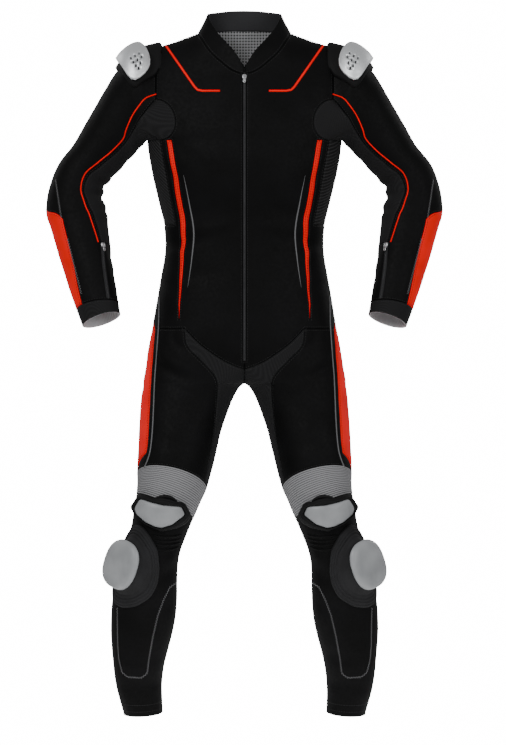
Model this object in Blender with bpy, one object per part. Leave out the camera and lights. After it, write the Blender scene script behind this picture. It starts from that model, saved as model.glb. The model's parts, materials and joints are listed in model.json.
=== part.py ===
"""A one-piece leather race suit, standing filled out and hollow, at its real size.

The suit is one surface, worked out from sections of the trunk, the legs and the sleeves. Rows run
round each section and columns run down it, and every seam is a path over that grid, so each panel
that a maker would cut is the part of the grid between its seams. A panel becomes a wall, and what
is sewn or fixed on a panel is laid on the surface.

Sizes in the tables are in millimetres. X is across, the front faces -Y and +Z is up. The origin is
the middle of the neck, level with the points where the neck meets the shoulders.
"""

import math

import bmesh
import bpy
from mathutils import Matrix, Vector
from mathutils.bvhtree import BVHTree

MM = 0.001
SEAM_GAP = 0.3  # between the edges of two panels
LEATHER = 2.6  # hide with its backing
STRETCH = 2.4  # woven stretch panels
RIBBED = 3.2  # ribbed stretch panels
COLLAR_WALL = 4.0
LINING = 1.2
TAPE = 2.2

# The trunk and the legs. level: height of the section's middle; out: side outline at that height;
# mid: middle of the section in depth; front, back: its depth before and behind; power: squareness;
# lean, tilt: slope of the section across and in depth.
BODY = (
    # level   out    mid  front back  power  lean   tilt
    (-222, 200.6, 0, 118, 112, 2.40, 0.00, 0.00),
    (-262, 195.0, 0, 121, 112, 2.40, 0.00, 0.00),
    (-308, 185.5, 0, 118, 106, 2.35, 0.00, 0.00),
    (-352, 175.0, 0, 111, 98, 2.30, 0.00, 0.00),
    (-395, 165.0, 0, 106, 92, 2.30, 0.00, 0.00),
    (-450, 163.0, 0, 104, 90, 2.30, 0.00, 0.00),
    (-510, 173.0, 0, 107, 100, 2.30, 0.00, 0.00),
    (-560, 181.5, 0, 110, 112, 2.30, 0.00, 0.00),
    (-608, 190.0, 0, 111, 122, 2.30, 0.00, 0.00),
    (-656, 199.0, 0, 108, 126, 2.30, 0.00, 0.00),
    (-692, 204.0, -2, 102, 122, 2.25, 0.00, 0.00),
    (-720, 209.3, -5, 97, 116, 2.20, 0.01, 0.00),
    (-745, 212.0, -8, 94, 111, 2.15, 0.03, -0.01),
    (-775, 214.5, -13, 92, 105, 2.10, 0.07, -0.04),
    (-815, 217.0, -20, 90, 97, 2.08, 0.11, -0.11),
    (-855, 218.5, -28, 88, 89, 2.05, 0.15, -0.21),
    (-890, 220.5, -36, 84, 81, 2.05, 0.18, -0.31),
    (-920, 219.5, -42, 80, 75, 2.05, 0.21, -0.36),
    (-945, 221.0, -45, 78, 70, 2.05, 0.32, -0.26),
    (-972, 226.0, -46, 76, 67, 2.05, 0.42, -0.13),
    (-1010, 231.5, -43, 72, 66, 2.05, 0.36, -0.02),
    (-1060, 246.0, -36, 69, 68, 2.05, 0.28, 0.08),
    (-1115, 260.0, -25, 66, 74, 2.05, 0.24, 0.13),
    (-1170, 272.5, -13, 63, 77, 2.05, 0.19, 0.15),
    (-1230, 275.0, -2, 59, 74, 2.05, 0.12, 0.16),
    (-1290, 271.0, 8, 54, 65, 2.05, 0.04, 0.17),
    (-1345, 263.5, 15, 48, 54, 2.05, -0.02, 0.17),
    (-1398, 249.5, 21, 45, 48, 2.05, -0.06, 0.17),
)

CLOSING = -640  # level where the trunk's section starts to close at the middle

# The inside of the leg, by height.
INSEAM = (
    # level    x
    (-720, 0.0),
    (-728, 10.0),
    (-745, 20.5),
    (-775, 33.0),
    (-815, 46.5),
    (-855, 56.5),
    (-899, 67.5),
    (-932, 77.0),
    (-965, 91.0),
    (-1000, 106.0),
    (-1035, 120.5),
    (-1070, 132.5),
    (-1100, 137.0),
    (-1160, 138.5),
    (-1200, 141.5),
    (-1235, 148.5),
    (-1270, 157.5),
    (-1305, 165.5),
    (-1345, 169.5),
    (-1398, 168.0),
)

# The chest and shoulders, above the armpit: sections that would run on past the armhole.
YOKE = (
    # level  half  front back
    (60, 226, 58, 60),
    (0, 226, 62, 70),
    (-40, 226, 66, 84),
    (-80, 226, 77, 96),
    (-120, 226, 93, 105),
    (-160, 221, 107, 110),
    (-195, 211, 116, 112),
    (-222, 200.6, 118, 112),
)
SHOULDER_ROUND = 72  # drop over which the chest turns up into the shoulder seam
DOME = 46  # height that the shoulder line would reach over the neck

# Neck seam and shoulder seam, seen from the front.
NECK_FRONT = ((0, -86), (14, -83), (30, -75), (45, -63), (72, -37), (96, 0))
NECK_BACK = ((0, 7), (34, 7), (64, 5), (84, 3), (96, 0))
SHOULDER = ((96, 0), (140, -17), (182, -29))

# The top edge of the collar, from the front of the neck round to the back.
COLLAR_TOP = (
    # x     y    z
    (0.6, -81, -80),
    (5, -78, -66),
    (20, -69, -40),
    (40, -56, -18),
    (61, -37, 7),
    (76, -6, 36),
    (70, 18, 41),
    (53, 38, 44),
    (28, 51, 47),
    (0, 56, 48),
)

# Levels of the rows. The first eight are heights on the armhole.
ARMHOLE_LEVELS = (-29, -50, -80, -110, -138, -160, -190, -222)
LEVELS = ARMHOLE_LEVELS + (
    -262, -308, -352, -395, -450, -510, -560, -590, -608, -636, -656, -675, -686, -692, -706, -714,
    -720, -728, -745, -775, -815, -855, -890, -920, -945, -972, -1010, -1060, -1115, -1170, -1230,
    -1290, -1345, -1398,
)  # fmt: skip

# Columns: 0 is the centre front, or the inside of the leg; 9 the side; 16 the centre back.
SIDE, LAST = 9, 16
ARMPIT, RIBS_END, STRIPE_END, HIP = 7, 11, 15, 16
TAPE_END, WING_END, CROTCH, KNEE_TOP, KNEE_LOW, ZIP_TOP = 19, 21, 24, 31, 33, 36
HEM = len(LEVELS) - 1
TAPE_HALF = 3.0
TOP_FRONT = (0, TAPE_HALF, 32, 62, 84, 96, 140, 182)
TOP_BACK = (182, 140, 96, 84, 62, 32, 0)
NECK_POINT = 5  # the column that meets the neck and shoulder seams
COLLAR_SHIFT = 7  # from the collar's columns behind the neck point to the trunk's

# Seams that run down the trunk and leg, as x by height.
STRIPE_IN = ((-222, 150.0), (-400, 120.4), (-590, 134.6))
STRIPE_OUT = ((-222, 159.6), (-400, 130.8), (-560, 135.2), (-590, 136.2))
FLANK = ((-222, 174.0), (-395, 143.0), (-500, 149.0), (-608, 157.0))
THIGH_FRONT = (
    (-590, 185.0), (-608, 184.6), (-644, 187.4), (-714, 192.3), (-786, 195.6), (-844, 199.3),
    (-890, 207.0), (-920, 214.0),
)  # fmt: skip
GUSSET_TOP = ((-608, 123.6), (-636, 96.5), (-656, 71.0), (-675, 42.0), (-686, 18.5), (-692, 0.0))
GUSSET_LOW = (
    (-608, 123.6), (-644, 118.0), (-672, 91.5), (-695, 69.0), (-712, 57.6), (-728, 55.0),
    (-761, 56.6), (-808, 60.7), (-856, 66.9), (-920, 80.0),
)  # fmt: skip
CALF_ZIP = ((-1010, 16.0), (-1115, 4.0), (-1398, 4.0))  # half the width of the gap it fills

# The sleeve. outer and inner are the ends of each section, seen from the front; y its middle in
# depth; tilt its slope in degrees; panel, piping, outside: how far across from the inner end
# the stretch panel's seam, the piping and the outer panel's seam lie.
SLEEVE = (
    # outer x, z   inner x, z    y  front back tilt  panel piping outside
    (226, -44, 207, -229, 0, 77, 77, 1, 0.33, 0.39, 1.0),
    (262, -78, 217, -238, 3, 73, 74, 2, 0.25, 0.33, 1.0),
    (292, -125, 235, -256, 6, 68, 69, 3, 0.20, 0.275, 1.0),
    (321, -175, 253, -278, 8, 64, 65, 4, 0.215, 0.29, 1.0),
    (351, -228, 273, -299, 11, 60, 61, 6, 0.27, 0.36, 1.0),
    (384, -271, 288, -316, 13, 58, 60, 8, 0.32, 0.405, 1.0),
    (403, -322, 291, -334, 12, 58, 60, 10, 0.34, 0.40, 1.0),
    (408, -360, 286, -357, 8, 57, 58, 12, 0.295, 0.355, 1.0),
    (406, -380, 283, -371, 4, 56, 57, 13, 0.26, 0.33, 0.87),
    (400, -397, 281, -385, 0, 55, 56, 14, 0.23, 0.305, 0.775),
    (383, -455, 275, -440, -17, 52, 52, 17, 0.17, 0.23, 0.785),
    (365, -512, 268, -492, -35, 48, 48, 18, 0.205, 0.25, 0.82),
    (345, -569, 258, -557, -53, 43, 43, 18, 0.235, 0.26, 0.87),
    (333, -602, 254, -578, -62, 39, 39, 18, 0.25, 0.27, 0.88),
)
SLEEVE_COLUMNS = 17
PANEL_AT, UNDER_AT, PANEL_BACK_AT = 4, 9, 13
RED_TIP, RED_FULL, STRETCH_END, CUFF_TOP, CUFF_END = 8, 10, 11, 13, 14


def straight(rows, at, column=1):
    """The value of a table's column at a height, on straight lines between its rows."""
    if (rows[0][0] - at) * (rows[0][0] - rows[-1][0]) <= 0:
        return rows[0][column]
    for low, high in zip(rows, rows[1:]):
        if (low[0] - at) * (high[0] - at) <= 0:
            part = (at - low[0]) / (high[0] - low[0])
            return low[column] + (high[column] - low[column]) * part
    return rows[-1][column]


def smooth(rows, at, column=1):
    """The value of a table's column at a height, on a smooth curve through its rows."""
    for i, (low, high) in enumerate(zip(rows, rows[1:])):
        if (low[0] - at) * (high[0] - at) <= 0:
            break
    else:
        inside = (rows[0][0] - at) * (rows[0][0] - rows[-1][0]) > 0
        return rows[-1 if inside else 0][column]
    span = high[0] - low[0]
    before, after = rows[max(i - 1, 0)], rows[min(i + 2, len(rows) - 1)]
    start = (high[column] - before[column]) / (high[0] - before[0]) * span
    end = (after[column] - low[column]) / (after[0] - low[0]) * span
    t = (at - low[0]) / span
    return (
        low[column] * (2 * t**3 - 3 * t**2 + 1)
        + start * (t**3 - 2 * t**2 + t)
        + high[column] * (3 * t**2 - 2 * t**3)
        + end * (t**3 - t**2)
    )


def bulge(across, power):
    """Depth of a squared oval, as a share of its greatest, at a share of the way across."""
    return max(0.0, 1.0 - abs(across) ** power) ** (1.0 / power)


def ease(t):
    t = min(max(t, 0.0), 1.0)
    return t * t * (3 - 2 * t)


class Section:
    """A section of the trunk or leg."""

    def __init__(self, level):
        self.level = level
        self.mid, self.front, self.back, self.power, self.lean, self.tilt = (
            smooth(BODY, level, column) for column in range(2, 8)
        )
        crotch = LEVELS[CROTCH]
        half = 100.0
        for _ in range(4):
            self.out = smooth(BODY, level + self.lean * half)
            self.inner = smooth(INSEAM, level - self.lean * half) if level < crotch else 0.0
            half = (self.out - self.inner) / 2
        self.half = half
        self.centre = (self.out + self.inner) / 2
        closing = (CLOSING - level) / (CLOSING - crotch)
        self.joined = bulge(min(max(closing, 0.0), 1.0), 2.6)
        self.joined_outside = ease((level + 840) / 240)

    def depth(self, x):
        """Share of the full depth at x, where one oval over both legs turns into one a leg.

        It turns fast at the middle, where the crotch closes, and slowly at the side.
        """
        whole = bulge(x / self.out, self.power)
        leg = bulge(min(max((x - self.centre) / self.half, -1.0), 1.0), self.power)
        near = ease((self.centre - x) / self.half)
        joined = self.joined * near + self.joined_outside * (1 - near)
        return joined * whole + (1 - joined) * leg

    def point(self, x, behind):
        y = self.mid + (self.back if behind else -self.front) * self.depth(x)
        z = self.level + self.lean * (x - self.centre) + self.tilt * (y - self.mid)
        return Vector((x, y, z))

    def at(self, seam, behind=False):
        """Where a seam that is given by height crosses this section."""
        x = seam(self.level)
        for _ in range(4):
            x = seam(self.point(min(max(x, self.inner), self.out), behind).z)
        return x

    def between(self, low, high, part):
        """An x that lies part of the way round the section from low to high."""
        joint = ease((self.level + 675) / 115)

        def whole(x):
            return math.asin(min(max(x / self.out, 0), 1) ** (self.power / 2))

        def leg(x):
            u = min(max((x - self.centre) / self.half, -1), 1)
            return math.copysign(math.asin(abs(u) ** (self.power / 2)), u)

        angle = whole(low) + (whole(high) - whole(low)) * part
        as_whole = self.out * max(math.sin(angle), 0) ** (2 / self.power)
        angle = leg(low) + (leg(high) - leg(low)) * part
        u = math.copysign(abs(math.sin(angle)) ** (2 / self.power), angle)
        return joint * as_whole + (1 - joint) * (self.centre + self.half * u)


def level_of(row):
    base = min(int(row), HEM - 1)
    return LEVELS[base] + (LEVELS[base + 1] - LEVELS[base]) * (row - base)


def stepped(path, row):
    """The column of a seam at a row, from the path of (row, column) that it takes."""
    return straight(path, row)


WING_TOP_PATH = ((HIP, 5), (WING_END, 0))
WING_LOW_PATH = ((HIP, 5), (18, 5), (19, 4), (21, 4), (22, 3), (24, 3), (25, 2), (KNEE_TOP, 2))
GUSSET_BACK_PATH = ((WING_END, 16), (23, 14), (KNEE_TOP, 14))


def knots(section, row):
    """The columns whose x is known on this row, front and back, as (column, x)."""
    front = [(0, section.inner)]
    back = [(SIDE, section.out)]
    if row <= TAPE_END:
        front.append((1, TAPE_HALF))
    if row <= STRIPE_END:
        front.append((5, section.at(lambda z: straight(STRIPE_IN, z))))
        front.append((6, section.at(lambda z: straight(STRIPE_OUT, z))))
    if row <= HIP:
        front.append((7, section.at(lambda z: straight(FLANK, z))))
    if HIP <= row <= WING_END:
        front.append((stepped(WING_TOP_PATH, row), section.at(lambda z: straight(GUSSET_TOP, z))))
    if HIP < row <= KNEE_TOP:
        front.append((stepped(WING_LOW_PATH, row), section.at(lambda z: smooth(GUSSET_LOW, z))))
    if STRIPE_END < row <= KNEE_TOP:
        x = min(section.at(lambda z: smooth(THIGH_FRONT, z)), section.out - 0.4)
        front.append((8, x))
        back.append((10, x))
    if row <= RIBS_END:
        back.append((10, section.at(lambda z: straight(FLANK, z), True)))
    if WING_END < row <= KNEE_TOP:
        x = section.at(lambda z: smooth(GUSSET_LOW, z), True)
        column = stepped(GUSSET_BACK_PATH, row)
        if column < LAST:
            share = (LAST - column) / 2
            back.append((column, section.inner + (x - section.inner) * share))
    if row >= KNEE_LOW + 1:
        gap = straight(CALF_ZIP, section.level)
        back += [(12, section.centre + gap), (13, section.centre - gap)]
    front.append((SIDE, section.out))
    back.append((LAST, section.inner))
    return sorted(front), sorted(back)


def across(section, row, column):
    """The x of a column on a row."""
    front, back = knots(section, row)
    steps = front if column <= SIDE else back
    for (first, x0), (second, x1) in zip(steps, steps[1:]):
        if first <= column <= second and second > first:
            return section.between(x0, x1, (column - first) / (second - first))
    return steps[-1][1]


def armhole(level):
    """Front edge of the armhole, with the round end of the stretch panel let into the chest."""
    below = max(0.0, LEVELS[4] - level) / (LEVELS[4] - LEVELS[ARMPIT])
    round_end = bulge(min(abs(level + 180) / 42, 1.0), 2)
    return TOP_FRONT[-1] - 8 * below - 36 * round_end


def over_neck(x):
    """Height that the shoulder line would have at x, rising to a dome over the neck."""
    if x >= SHOULDER[0][0]:
        return straight(SHOULDER, x)
    return DOME * (1 - (x / SHOULDER[0][0]) ** 2)


def yoke_point(x, z, behind):
    """A point on the chest, shoulder or upper back."""
    half, front, back = (smooth(YOKE, z, column) for column in (1, 2, 3))
    drop = min(max(over_neck(x) - z, 0.0) / SHOULDER_ROUND, 1.0)
    turn = math.sqrt(max(0.0, 1 - (1 - drop) ** 2))
    share = turn * bulge(x / half, 2.4)
    return Vector((x, (back if behind else -front) * share, z))


def trunk_point(row, column):
    """A point of the trunk and leg by row and column."""
    if row >= ARMPIT:
        section = Section(level_of(row))
        return section.point(across(section, row, column), column > SIDE)
    armpit = Section(LEVELS[ARMPIT])
    down = (level_of(row) - LEVELS[0]) / (LEVELS[ARMPIT] - LEVELS[0])
    low = across(armpit, ARMPIT, column)
    behind = column > SIDE
    tops, index = (TOP_BACK, column - 10) if behind else (TOP_FRONT, column)
    first = min(int(index), len(tops) - 2)
    high = tops[first] + (tops[first + 1] - tops[first]) * (index - first)
    x = high + (low - high) * down
    neck = NECK_BACK if behind else NECK_FRONT
    top = straight(SHOULDER, high) if high >= SHOULDER[0][0] else smooth(neck, high)
    if not behind:
        plain = TOP_FRONT[-1] + (FLANK[0][1] - TOP_FRONT[-1]) * down
        x *= 1 + (armhole(level_of(row)) / plain - 1) * max(index - 1, 0) / 6
    return yoke_point(x, top + (LEVELS[ARMPIT] - top) * down, behind)


# Near the armhole: angle of the sleeve's front and back lower corners, and its squareness.
ARMHOLE_CORNERS = ((1, -44, -136, 2.6), (2, -50, -130, 2.45), (3, -58, -121, 2.25))


def angles_of(ring):
    """The angle of each column that is fixed on a sleeve section; 90 is outside, 0 the front."""
    panel, outside = (
        math.degrees(math.asin(2 * SLEEVE[ring - 1][column] - 1)) for column in (8, 10)
    )
    front = [(0, 90.0), (PANEL_AT, panel)]
    if ring > RED_TIP:
        front.append((min(ring - RED_TIP, 2), outside))
    back = [(SLEEVE_COLUMNS - column, -180 - angle) for column, angle in front]
    corners = [(ARMPIT, low) for at, low, _, _ in ARMHOLE_CORNERS if at == ring]
    corners += [(10, high) for at, _, high, _ in ARMHOLE_CORNERS if at == ring]
    return sorted(front + corners + [(UNDER_AT, -90.0)] + back)


def ring_frame(ring):
    """Middle of a sleeve section, its way out, and its way to the front."""
    outer_x, outer_z, inner_x, inner_z, y, _, _, tilt = SLEEVE[ring - 1][:8]
    middle = Vector(((outer_x + inner_x) / 2, y, (outer_z + inner_z) / 2))
    out = Vector(((outer_x - inner_x) / 2, 0, (outer_z - inner_z) / 2))
    slope = math.radians(tilt)
    return middle, out, Vector((0, -math.cos(slope), math.sin(slope)))


def ring_point(ring, angle):
    middle, out, forward = ring_frame(ring)
    side, front = math.sin(math.radians(angle)), math.cos(math.radians(angle))
    power = next((squared for at, _, _, squared in ARMHOLE_CORNERS if at == ring), 2.0)
    side = math.copysign(abs(side) ** (2 / power), side)
    depth = SLEEVE[ring - 1][5 if front > 0 else 6] * math.copysign(abs(front) ** (2 / power), front)
    return middle + out * side + forward * depth


def sleeve_ring(ring, column):
    """A point of a sleeve section; ring 0 is the armhole, and rings below 0 lie inside it."""
    if ring > 0:
        fixed = angles_of(ring)
        for (first, low), (second, high) in zip(fixed, fixed[1:]):
            if first <= column <= second:
                part = (column - first) / (second - first)
                return ring_point(ring, low + (high - low) * part)
    if column <= ARMPIT:
        return trunk_point(column, ARMPIT + ring)
    if column <= 10:
        return trunk_point(ARMPIT - ring, column)
    return trunk_point(SLEEVE_COLUMNS - column, 10 - ring)


def follow(points, t):
    """A point between the middle two of four, on a smooth curve through all."""
    a, b, c, d = points
    return (
        b * 2 + (c - a) * t + (a * 2 - b * 5 + c * 4 - d) * t**2 + (b * 3 - a - c * 3 + d) * t**3
    ) / 2


def sleeve_point(ring, column):
    """A point of the sleeve by ring and column."""
    base = min(math.floor(ring), CUFF_END - 1)
    column %= SLEEVE_COLUMNS
    if ring == base:
        return sleeve_ring(base, column)
    around = [sleeve_ring(min(base + step, CUFF_END), column) for step in (-1, 0, 1, 2)]
    return follow(around, ring - base)


def collar_point(height, column):
    """A point of the collar: height 0 is the neck seam and 1 the top edge."""
    base = trunk_point(0, column if column <= NECK_POINT else column + COLLAR_SHIFT)
    first = min(int(column), len(COLLAR_TOP) - 2)
    picked = [
        Vector(COLLAR_TOP[min(max(first + step, 0), len(COLLAR_TOP) - 1)])
        for step in (-1, 0, 1, 2)
    ]
    return base.lerp(follow(picked, column - first), height)


# Seams as paths of (row, column) over the grids.
TRUNK_SEAMS = (
    [(row, 1) for row in range(TAPE_END + 1)] + [(TAPE_END, 0)],
    [(row, 5) for row in range(ARMPIT, STRIPE_END + 1)],
    [(ARMPIT, 5)] + [(row, 6) for row in range(ARMPIT, STRIPE_END)] + [(STRIPE_END, 5)],
    [(row, 7) for row in range(ARMPIT, RIBS_END + 1)]
    + [(RIBS_END, column) for column in (8, 9, 10)]
    + [(row, 10) for row in range(RIBS_END - 1, ARMPIT - 1, -1)],
    [(row, SIDE) for row in range(RIBS_END, STRIPE_END + 1)],
    [(HIP, 5), (17, 4), (18, 3), (19, 2), (20, 1), (WING_END, 0)],
    [(HIP, 5), (17, 5), (18, 5), (19, 4), (20, 4), (21, 4), (22, 3), (23, 3), (24, 3), (25, 2)]
    + [(row, 2) for row in range(26, KNEE_TOP + 1)],
    [(HIP, column) for column in (5, 6, 7, 8)],
    [(HIP, column) for column in range(10, LAST + 1)],
    [(STRIPE_END, SIDE)] + [(row, 8) for row in range(HIP, KNEE_TOP)] + [(KNEE_TOP, SIDE)],
    [(STRIPE_END, SIDE)] + [(row, 10) for row in range(HIP, KNEE_TOP)] + [(KNEE_TOP, SIDE)],
    [(KNEE_TOP, column) for column in range(11)] + [(32, 10), (KNEE_LOW, 10)],
    [(row, 0) for row in (KNEE_TOP, 32, KNEE_LOW)],
    [(KNEE_LOW, column) for column in range(LAST + 1)],
    [(WING_END, 16), (22, 15)] + [(row, 14) for row in range(23, KNEE_TOP + 1)],
    [(KNEE_TOP, 14), (KNEE_TOP, 15), (KNEE_TOP, 16)],
    [(row, 12) for row in range(HEM, ZIP_TOP - 1, -1)]
    + [(row, 13) for row in range(ZIP_TOP, HEM + 1)],
    [(0, column) for column in range(ARMPIT + 1)],
    [(0, column) for column in range(10, LAST + 1)],
)
SLEEVE_SEAMS = (
    [(0, column) for column in range(SLEEVE_COLUMNS + 1)],
    [(ring, PANEL_AT) for ring in range(STRETCH_END + 1)]
    + [(STRETCH_END, column) for column in range(PANEL_AT + 1, PANEL_BACK_AT + 1)]
    + [(ring, PANEL_BACK_AT) for ring in range(STRETCH_END - 1, -1, -1)],
    [(RED_TIP, 0), (9, 1)] + [(ring, 2) for ring in range(RED_FULL, CUFF_TOP + 1)],
    [(RED_TIP, 17), (9, 16)] + [(ring, 15) for ring in range(RED_FULL, CUFF_TOP + 1)],
    [(CUFF_TOP, column) for column in range(SLEEVE_COLUMNS + 1)],
)


def trunk_key(row, column):
    """Grid points that are one point in space share a key."""
    if row >= CROTCH and column == LAST:
        column = 0
    if row == 0 and column in (10, 11, 12):
        column = 17 - column
    return ("trunk", row, column)


def sleeve_key(ring, column):
    if ring > 0:
        return ("sleeve", ring, column % SLEEVE_COLUMNS)
    if column <= ARMPIT:
        return trunk_key(column, ARMPIT)
    if column <= 10:
        return trunk_key(ARMPIT, column)
    return trunk_key(SLEEVE_COLUMNS - column, 10)


def collar_key(height, column):
    if height == 0:
        return trunk_key(0, column if column <= NECK_POINT else column + COLLAR_SHIFT)
    return ("collar", height, column)


# One cell of each panel, which names the panel. On the suit's middle it runs over both sides.
PANELS = {
    # name: (grid, row, column, which triangle of a cell that a seam cuts, is it over the middle)
    "zip_tape": ("trunk", 2, 0, 0, True),
    "front": ("trunk", 9, 3, 0, False),
    "side_stripe": ("trunk", 9, 5, 0, False),
    "side_ribs": ("trunk", 9, 8, 0, False),
    "back": ("trunk", 9, 13, 0, True),
    "crotch_gusset": ("trunk", 26, 0, 0, True),
    "leg_front": ("trunk", 26, 5, 0, False),
    "thigh_panel": ("trunk", 26, 8, 0, False),
    "leg_back": ("trunk", 26, 12, 0, False),
    "knee_ribs": ("trunk", 32, 5, 0, False),
    "lower_leg": ("trunk", 35, 5, 0, False),
    "calf_zip": ("trunk", 38, 12, 0, False),
    "sleeve": ("sleeve", 5, 1, 0, False),
    "sleeve_stretch": ("sleeve", 5, 8, 0, False),
    "forearm_panel": ("sleeve", 11, 1, 0, False),
    "cuff": ("sleeve", 13, 5, 0, False),
    "collar": ("collar", 0, 5, 0, "behind"),
}
WALLS = {
    "zip_tape": TAPE,
    "calf_zip": TAPE,
    "collar": COLLAR_WALL,
    "side_ribs": RIBBED,
    "knee_ribs": RIBBED,
    "sleeve_stretch": STRETCH,
    "crotch_gusset": STRETCH,
}


class Suit:
    """The whole suit's surface as points and panels, for the left side and the right."""

    def __init__(self):
        self.points = {}
        self.faces = []  # (panel grid, row, column, part, keys)
        self.seams = set()
        self.grid("trunk", trunk_point, trunk_key, HEM, LAST, TRUNK_SEAMS)
        self.grid("sleeve", sleeve_point, sleeve_key, CUFF_END, SLEEVE_COLUMNS, SLEEVE_SEAMS)
        self.grid("collar", lambda r, c: collar_point(r / 2, c), collar_key, 2, 9, ())
        self.panels = {name: self.fill(place) for name, place in PANELS.items()}
        self.normals = self.find_normals()
        self.tree = self.outside()

    def grid(self, name, point, key, rows, columns, seams):
        for path in seams:
            steps = [key(*step) for step in path]
            self.seams |= {frozenset(pair) for pair in zip(steps, steps[1:])}
        for row in range(rows):
            for column in range(columns):
                if name == "trunk" and row < ARMPIT and column in (7, 8, 9):
                    continue
                corners = [(row, column), (row + 1, column), (row + 1, column + 1), (row, column + 1)]
                if name != "trunk":  # the columns there run the other way round
                    corners.reverse()
                keys = [key(*corner) for corner in corners]
                for corner, k in zip(corners, keys):
                    if k not in self.points:
                        self.points[k] = point(*corner)
                self.split(name, row, column, keys)

    def split(self, name, row, column, keys):
        """Adds a cell as triangles, cut along a seam or else along its shorter diagonal."""
        keys = [k for i, k in enumerate(keys) if k not in keys[:i]]
        parts = [keys]
        if len(keys) == 4:
            at = [self.points[k] for k in keys]
            short = (at[0] - at[2]).length <= (at[1] - at[3]).length
            seam = frozenset((keys[0], keys[2])) in self.seams
            other_seam = frozenset((keys[1], keys[3])) in self.seams
            if seam or (short and not other_seam):
                parts = [keys[:3], [keys[0], keys[2], keys[3]]]
            else:
                parts = [[keys[0], keys[1], keys[3]], keys[1:]]
        for part, corners in enumerate(parts):
            if len(corners) > 2:
                self.faces.append((name, row, column, part, tuple(corners)))

    def fill(self, place):
        """The faces that can be reached from one cell without crossing a seam."""
        grid, row, column, part, _ = place
        beside = {}
        for i, face in enumerate(self.faces):
            for edge in edges_of(face[4]):
                if edge not in self.seams:
                    beside.setdefault(edge, []).append(i)
        start = next(
            i for i, f in enumerate(self.faces) if f[:4] == (grid, row, column, part)
        )
        found, waiting = {start}, [start]
        while waiting:
            for edge in edges_of(self.faces[waiting.pop()][4]):
                for other in beside.get(edge, ()):
                    if other not in found:
                        found.add(other)
                        waiting.append(other)
        return [self.faces[i][4] for i in sorted(found)]

    def find_normals(self):
        """Outward directions at the points, from the faces round them on both sides."""
        normals = {k: Vector() for k in self.points}
        for *_, keys in self.faces:
            corners = [self.points[k] for k in keys]
            turn = Vector()
            for a, b in zip(corners, corners[1:] + corners[:1]):
                turn += a.cross(b)
            for k in keys:
                normals[k] += turn
        for k, normal in normals.items():
            if abs(self.points[k].x) < 0.01:
                normal.x = 0
            normal.normalize()
        return normals

    def outside(self):
        """The coarse surface, to lay things on."""
        order = {k: i for i, k in enumerate(self.points)}
        return BVHTree.FromPolygons(
            [self.points[k] for k in order], [[order[k] for k in f[4]] for f in self.faces]
        )


def edges_of(keys):
    return [frozenset(pair) for pair in zip(keys, keys[1:] + keys[:1])]


def wall(suit, faces, depth, thickness, over_middle):
    """A closed wall on faces of the suit: depth is how far under the surface it starts."""
    points, names, order, polygons = [], [], {}, []

    def index(key, mirrored):
        place = suit.points[key]
        if abs(place.x) < 0.01 and (over_middle != "behind" or place.y > 0):
            mirrored = False
        if (key, mirrored) not in order:
            order[key, mirrored] = len(points)
            flip = Vector((-1 if mirrored else 1, 1, 1))
            points.append((suit.points[key] * flip, suit.normals[key] * flip))
            names.append(key)
        return order[key, mirrored]

    for keys in faces:
        polygons.append([index(k, False) for k in keys])
        if over_middle:
            polygons.append([index(k, True) for k in reversed(keys)])
    border = {}
    for polygon in polygons:
        for pair in zip(polygon, polygon[1:] + polygon[:1]):
            border[pair] = (pair[1], pair[0]) not in border
            if not border[pair]:
                border[pair[1], pair[0]] = False
    rims = [pair for pair, open_edge in border.items() if open_edge]
    pulls = {}
    for a, b in rims:
        along = (points[b][0] - points[a][0]).normalized()
        for end in (a, b):
            pulls.setdefault(end, []).append(points[end][1].cross(along).normalized())
    outer, inner = [], []
    for i, (place, normal) in enumerate(points):
        if i in pulls:
            total = sum(pulls[i], Vector())
            share = max(total.dot(pulls[i][0]), 0.35)
            place = place + total * (SEAM_GAP / 2 / share)
        outer.append(place - normal * depth)
        inner.append(place - normal * (depth + thickness))
    count = len(points)
    shell = [tuple(p) for p in polygons]
    shell += [tuple(i + count for i in reversed(p)) for p in polygons]
    for a, b in rims:
        if names[a] < names[b]:
            shell += [(b, a, b + count), (a, a + count, b + count)]
        else:
            shell += [(b, a, a + count), (b, a + count, b + count)]
    return outer + inner, shell


def material(name, colour, roughness, metallic=0.0):
    made = bpy.data.materials.new(name)
    made.use_nodes = True
    shader = made.node_tree.nodes["Principled BSDF"]
    shader.inputs["Base Color"].default_value = (*colour, 1)
    shader.inputs["Roughness"].default_value = roughness
    shader.inputs["Metallic"].default_value = metallic
    return made


def add_mesh(name, points, faces, finish, origin=Vector(), parent=None):
    """An object from points in millimetres, with its origin at a point."""
    mesh = bpy.data.meshes.new(name)
    mesh.from_pydata([(p - origin) * MM for p in points], [], faces)
    mesh.validate()
    made = bpy.data.objects.new(name, mesh)
    made.data.materials.append(finish)
    made.location = origin * MM
    bpy.data.collections["race_suit"].objects.link(made)
    if parent:
        made.parent = parent
        made.location = (0, 0, 0)
    return made


def mirrored(points, faces):
    return [Vector((-p.x, p.y, p.z)) for p in points], [tuple(reversed(f)) for f in faces]


def add_both(name, points, faces, finish):
    """The piece on the wearer's left, and its mirror image on the right."""
    add_mesh(name + "_l", points, faces, finish)
    add_mesh(name + "_r", *mirrored(points, faces), finish)


# What is sewn or fixed on the panels, seen from the front.
CHEST_STRIPE = ((162, -26), (102, -113), (96, -119), (86, -121), (50, -121))
CHEST_STRIPE_WIDTH = 4.6
THIGH_PIPING = (
    (175, -540), (176, -600), (180, -660), (184, -714), (187.4, -800), (190.4, -850), (199, -882),
)  # fmt: skip
PIPING_WIDTH = 2.6
PIPING_START = 3.6  # row on the armhole where the sleeve's piping starts
CUFF_ZIP_WIDTH = 8.0

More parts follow.
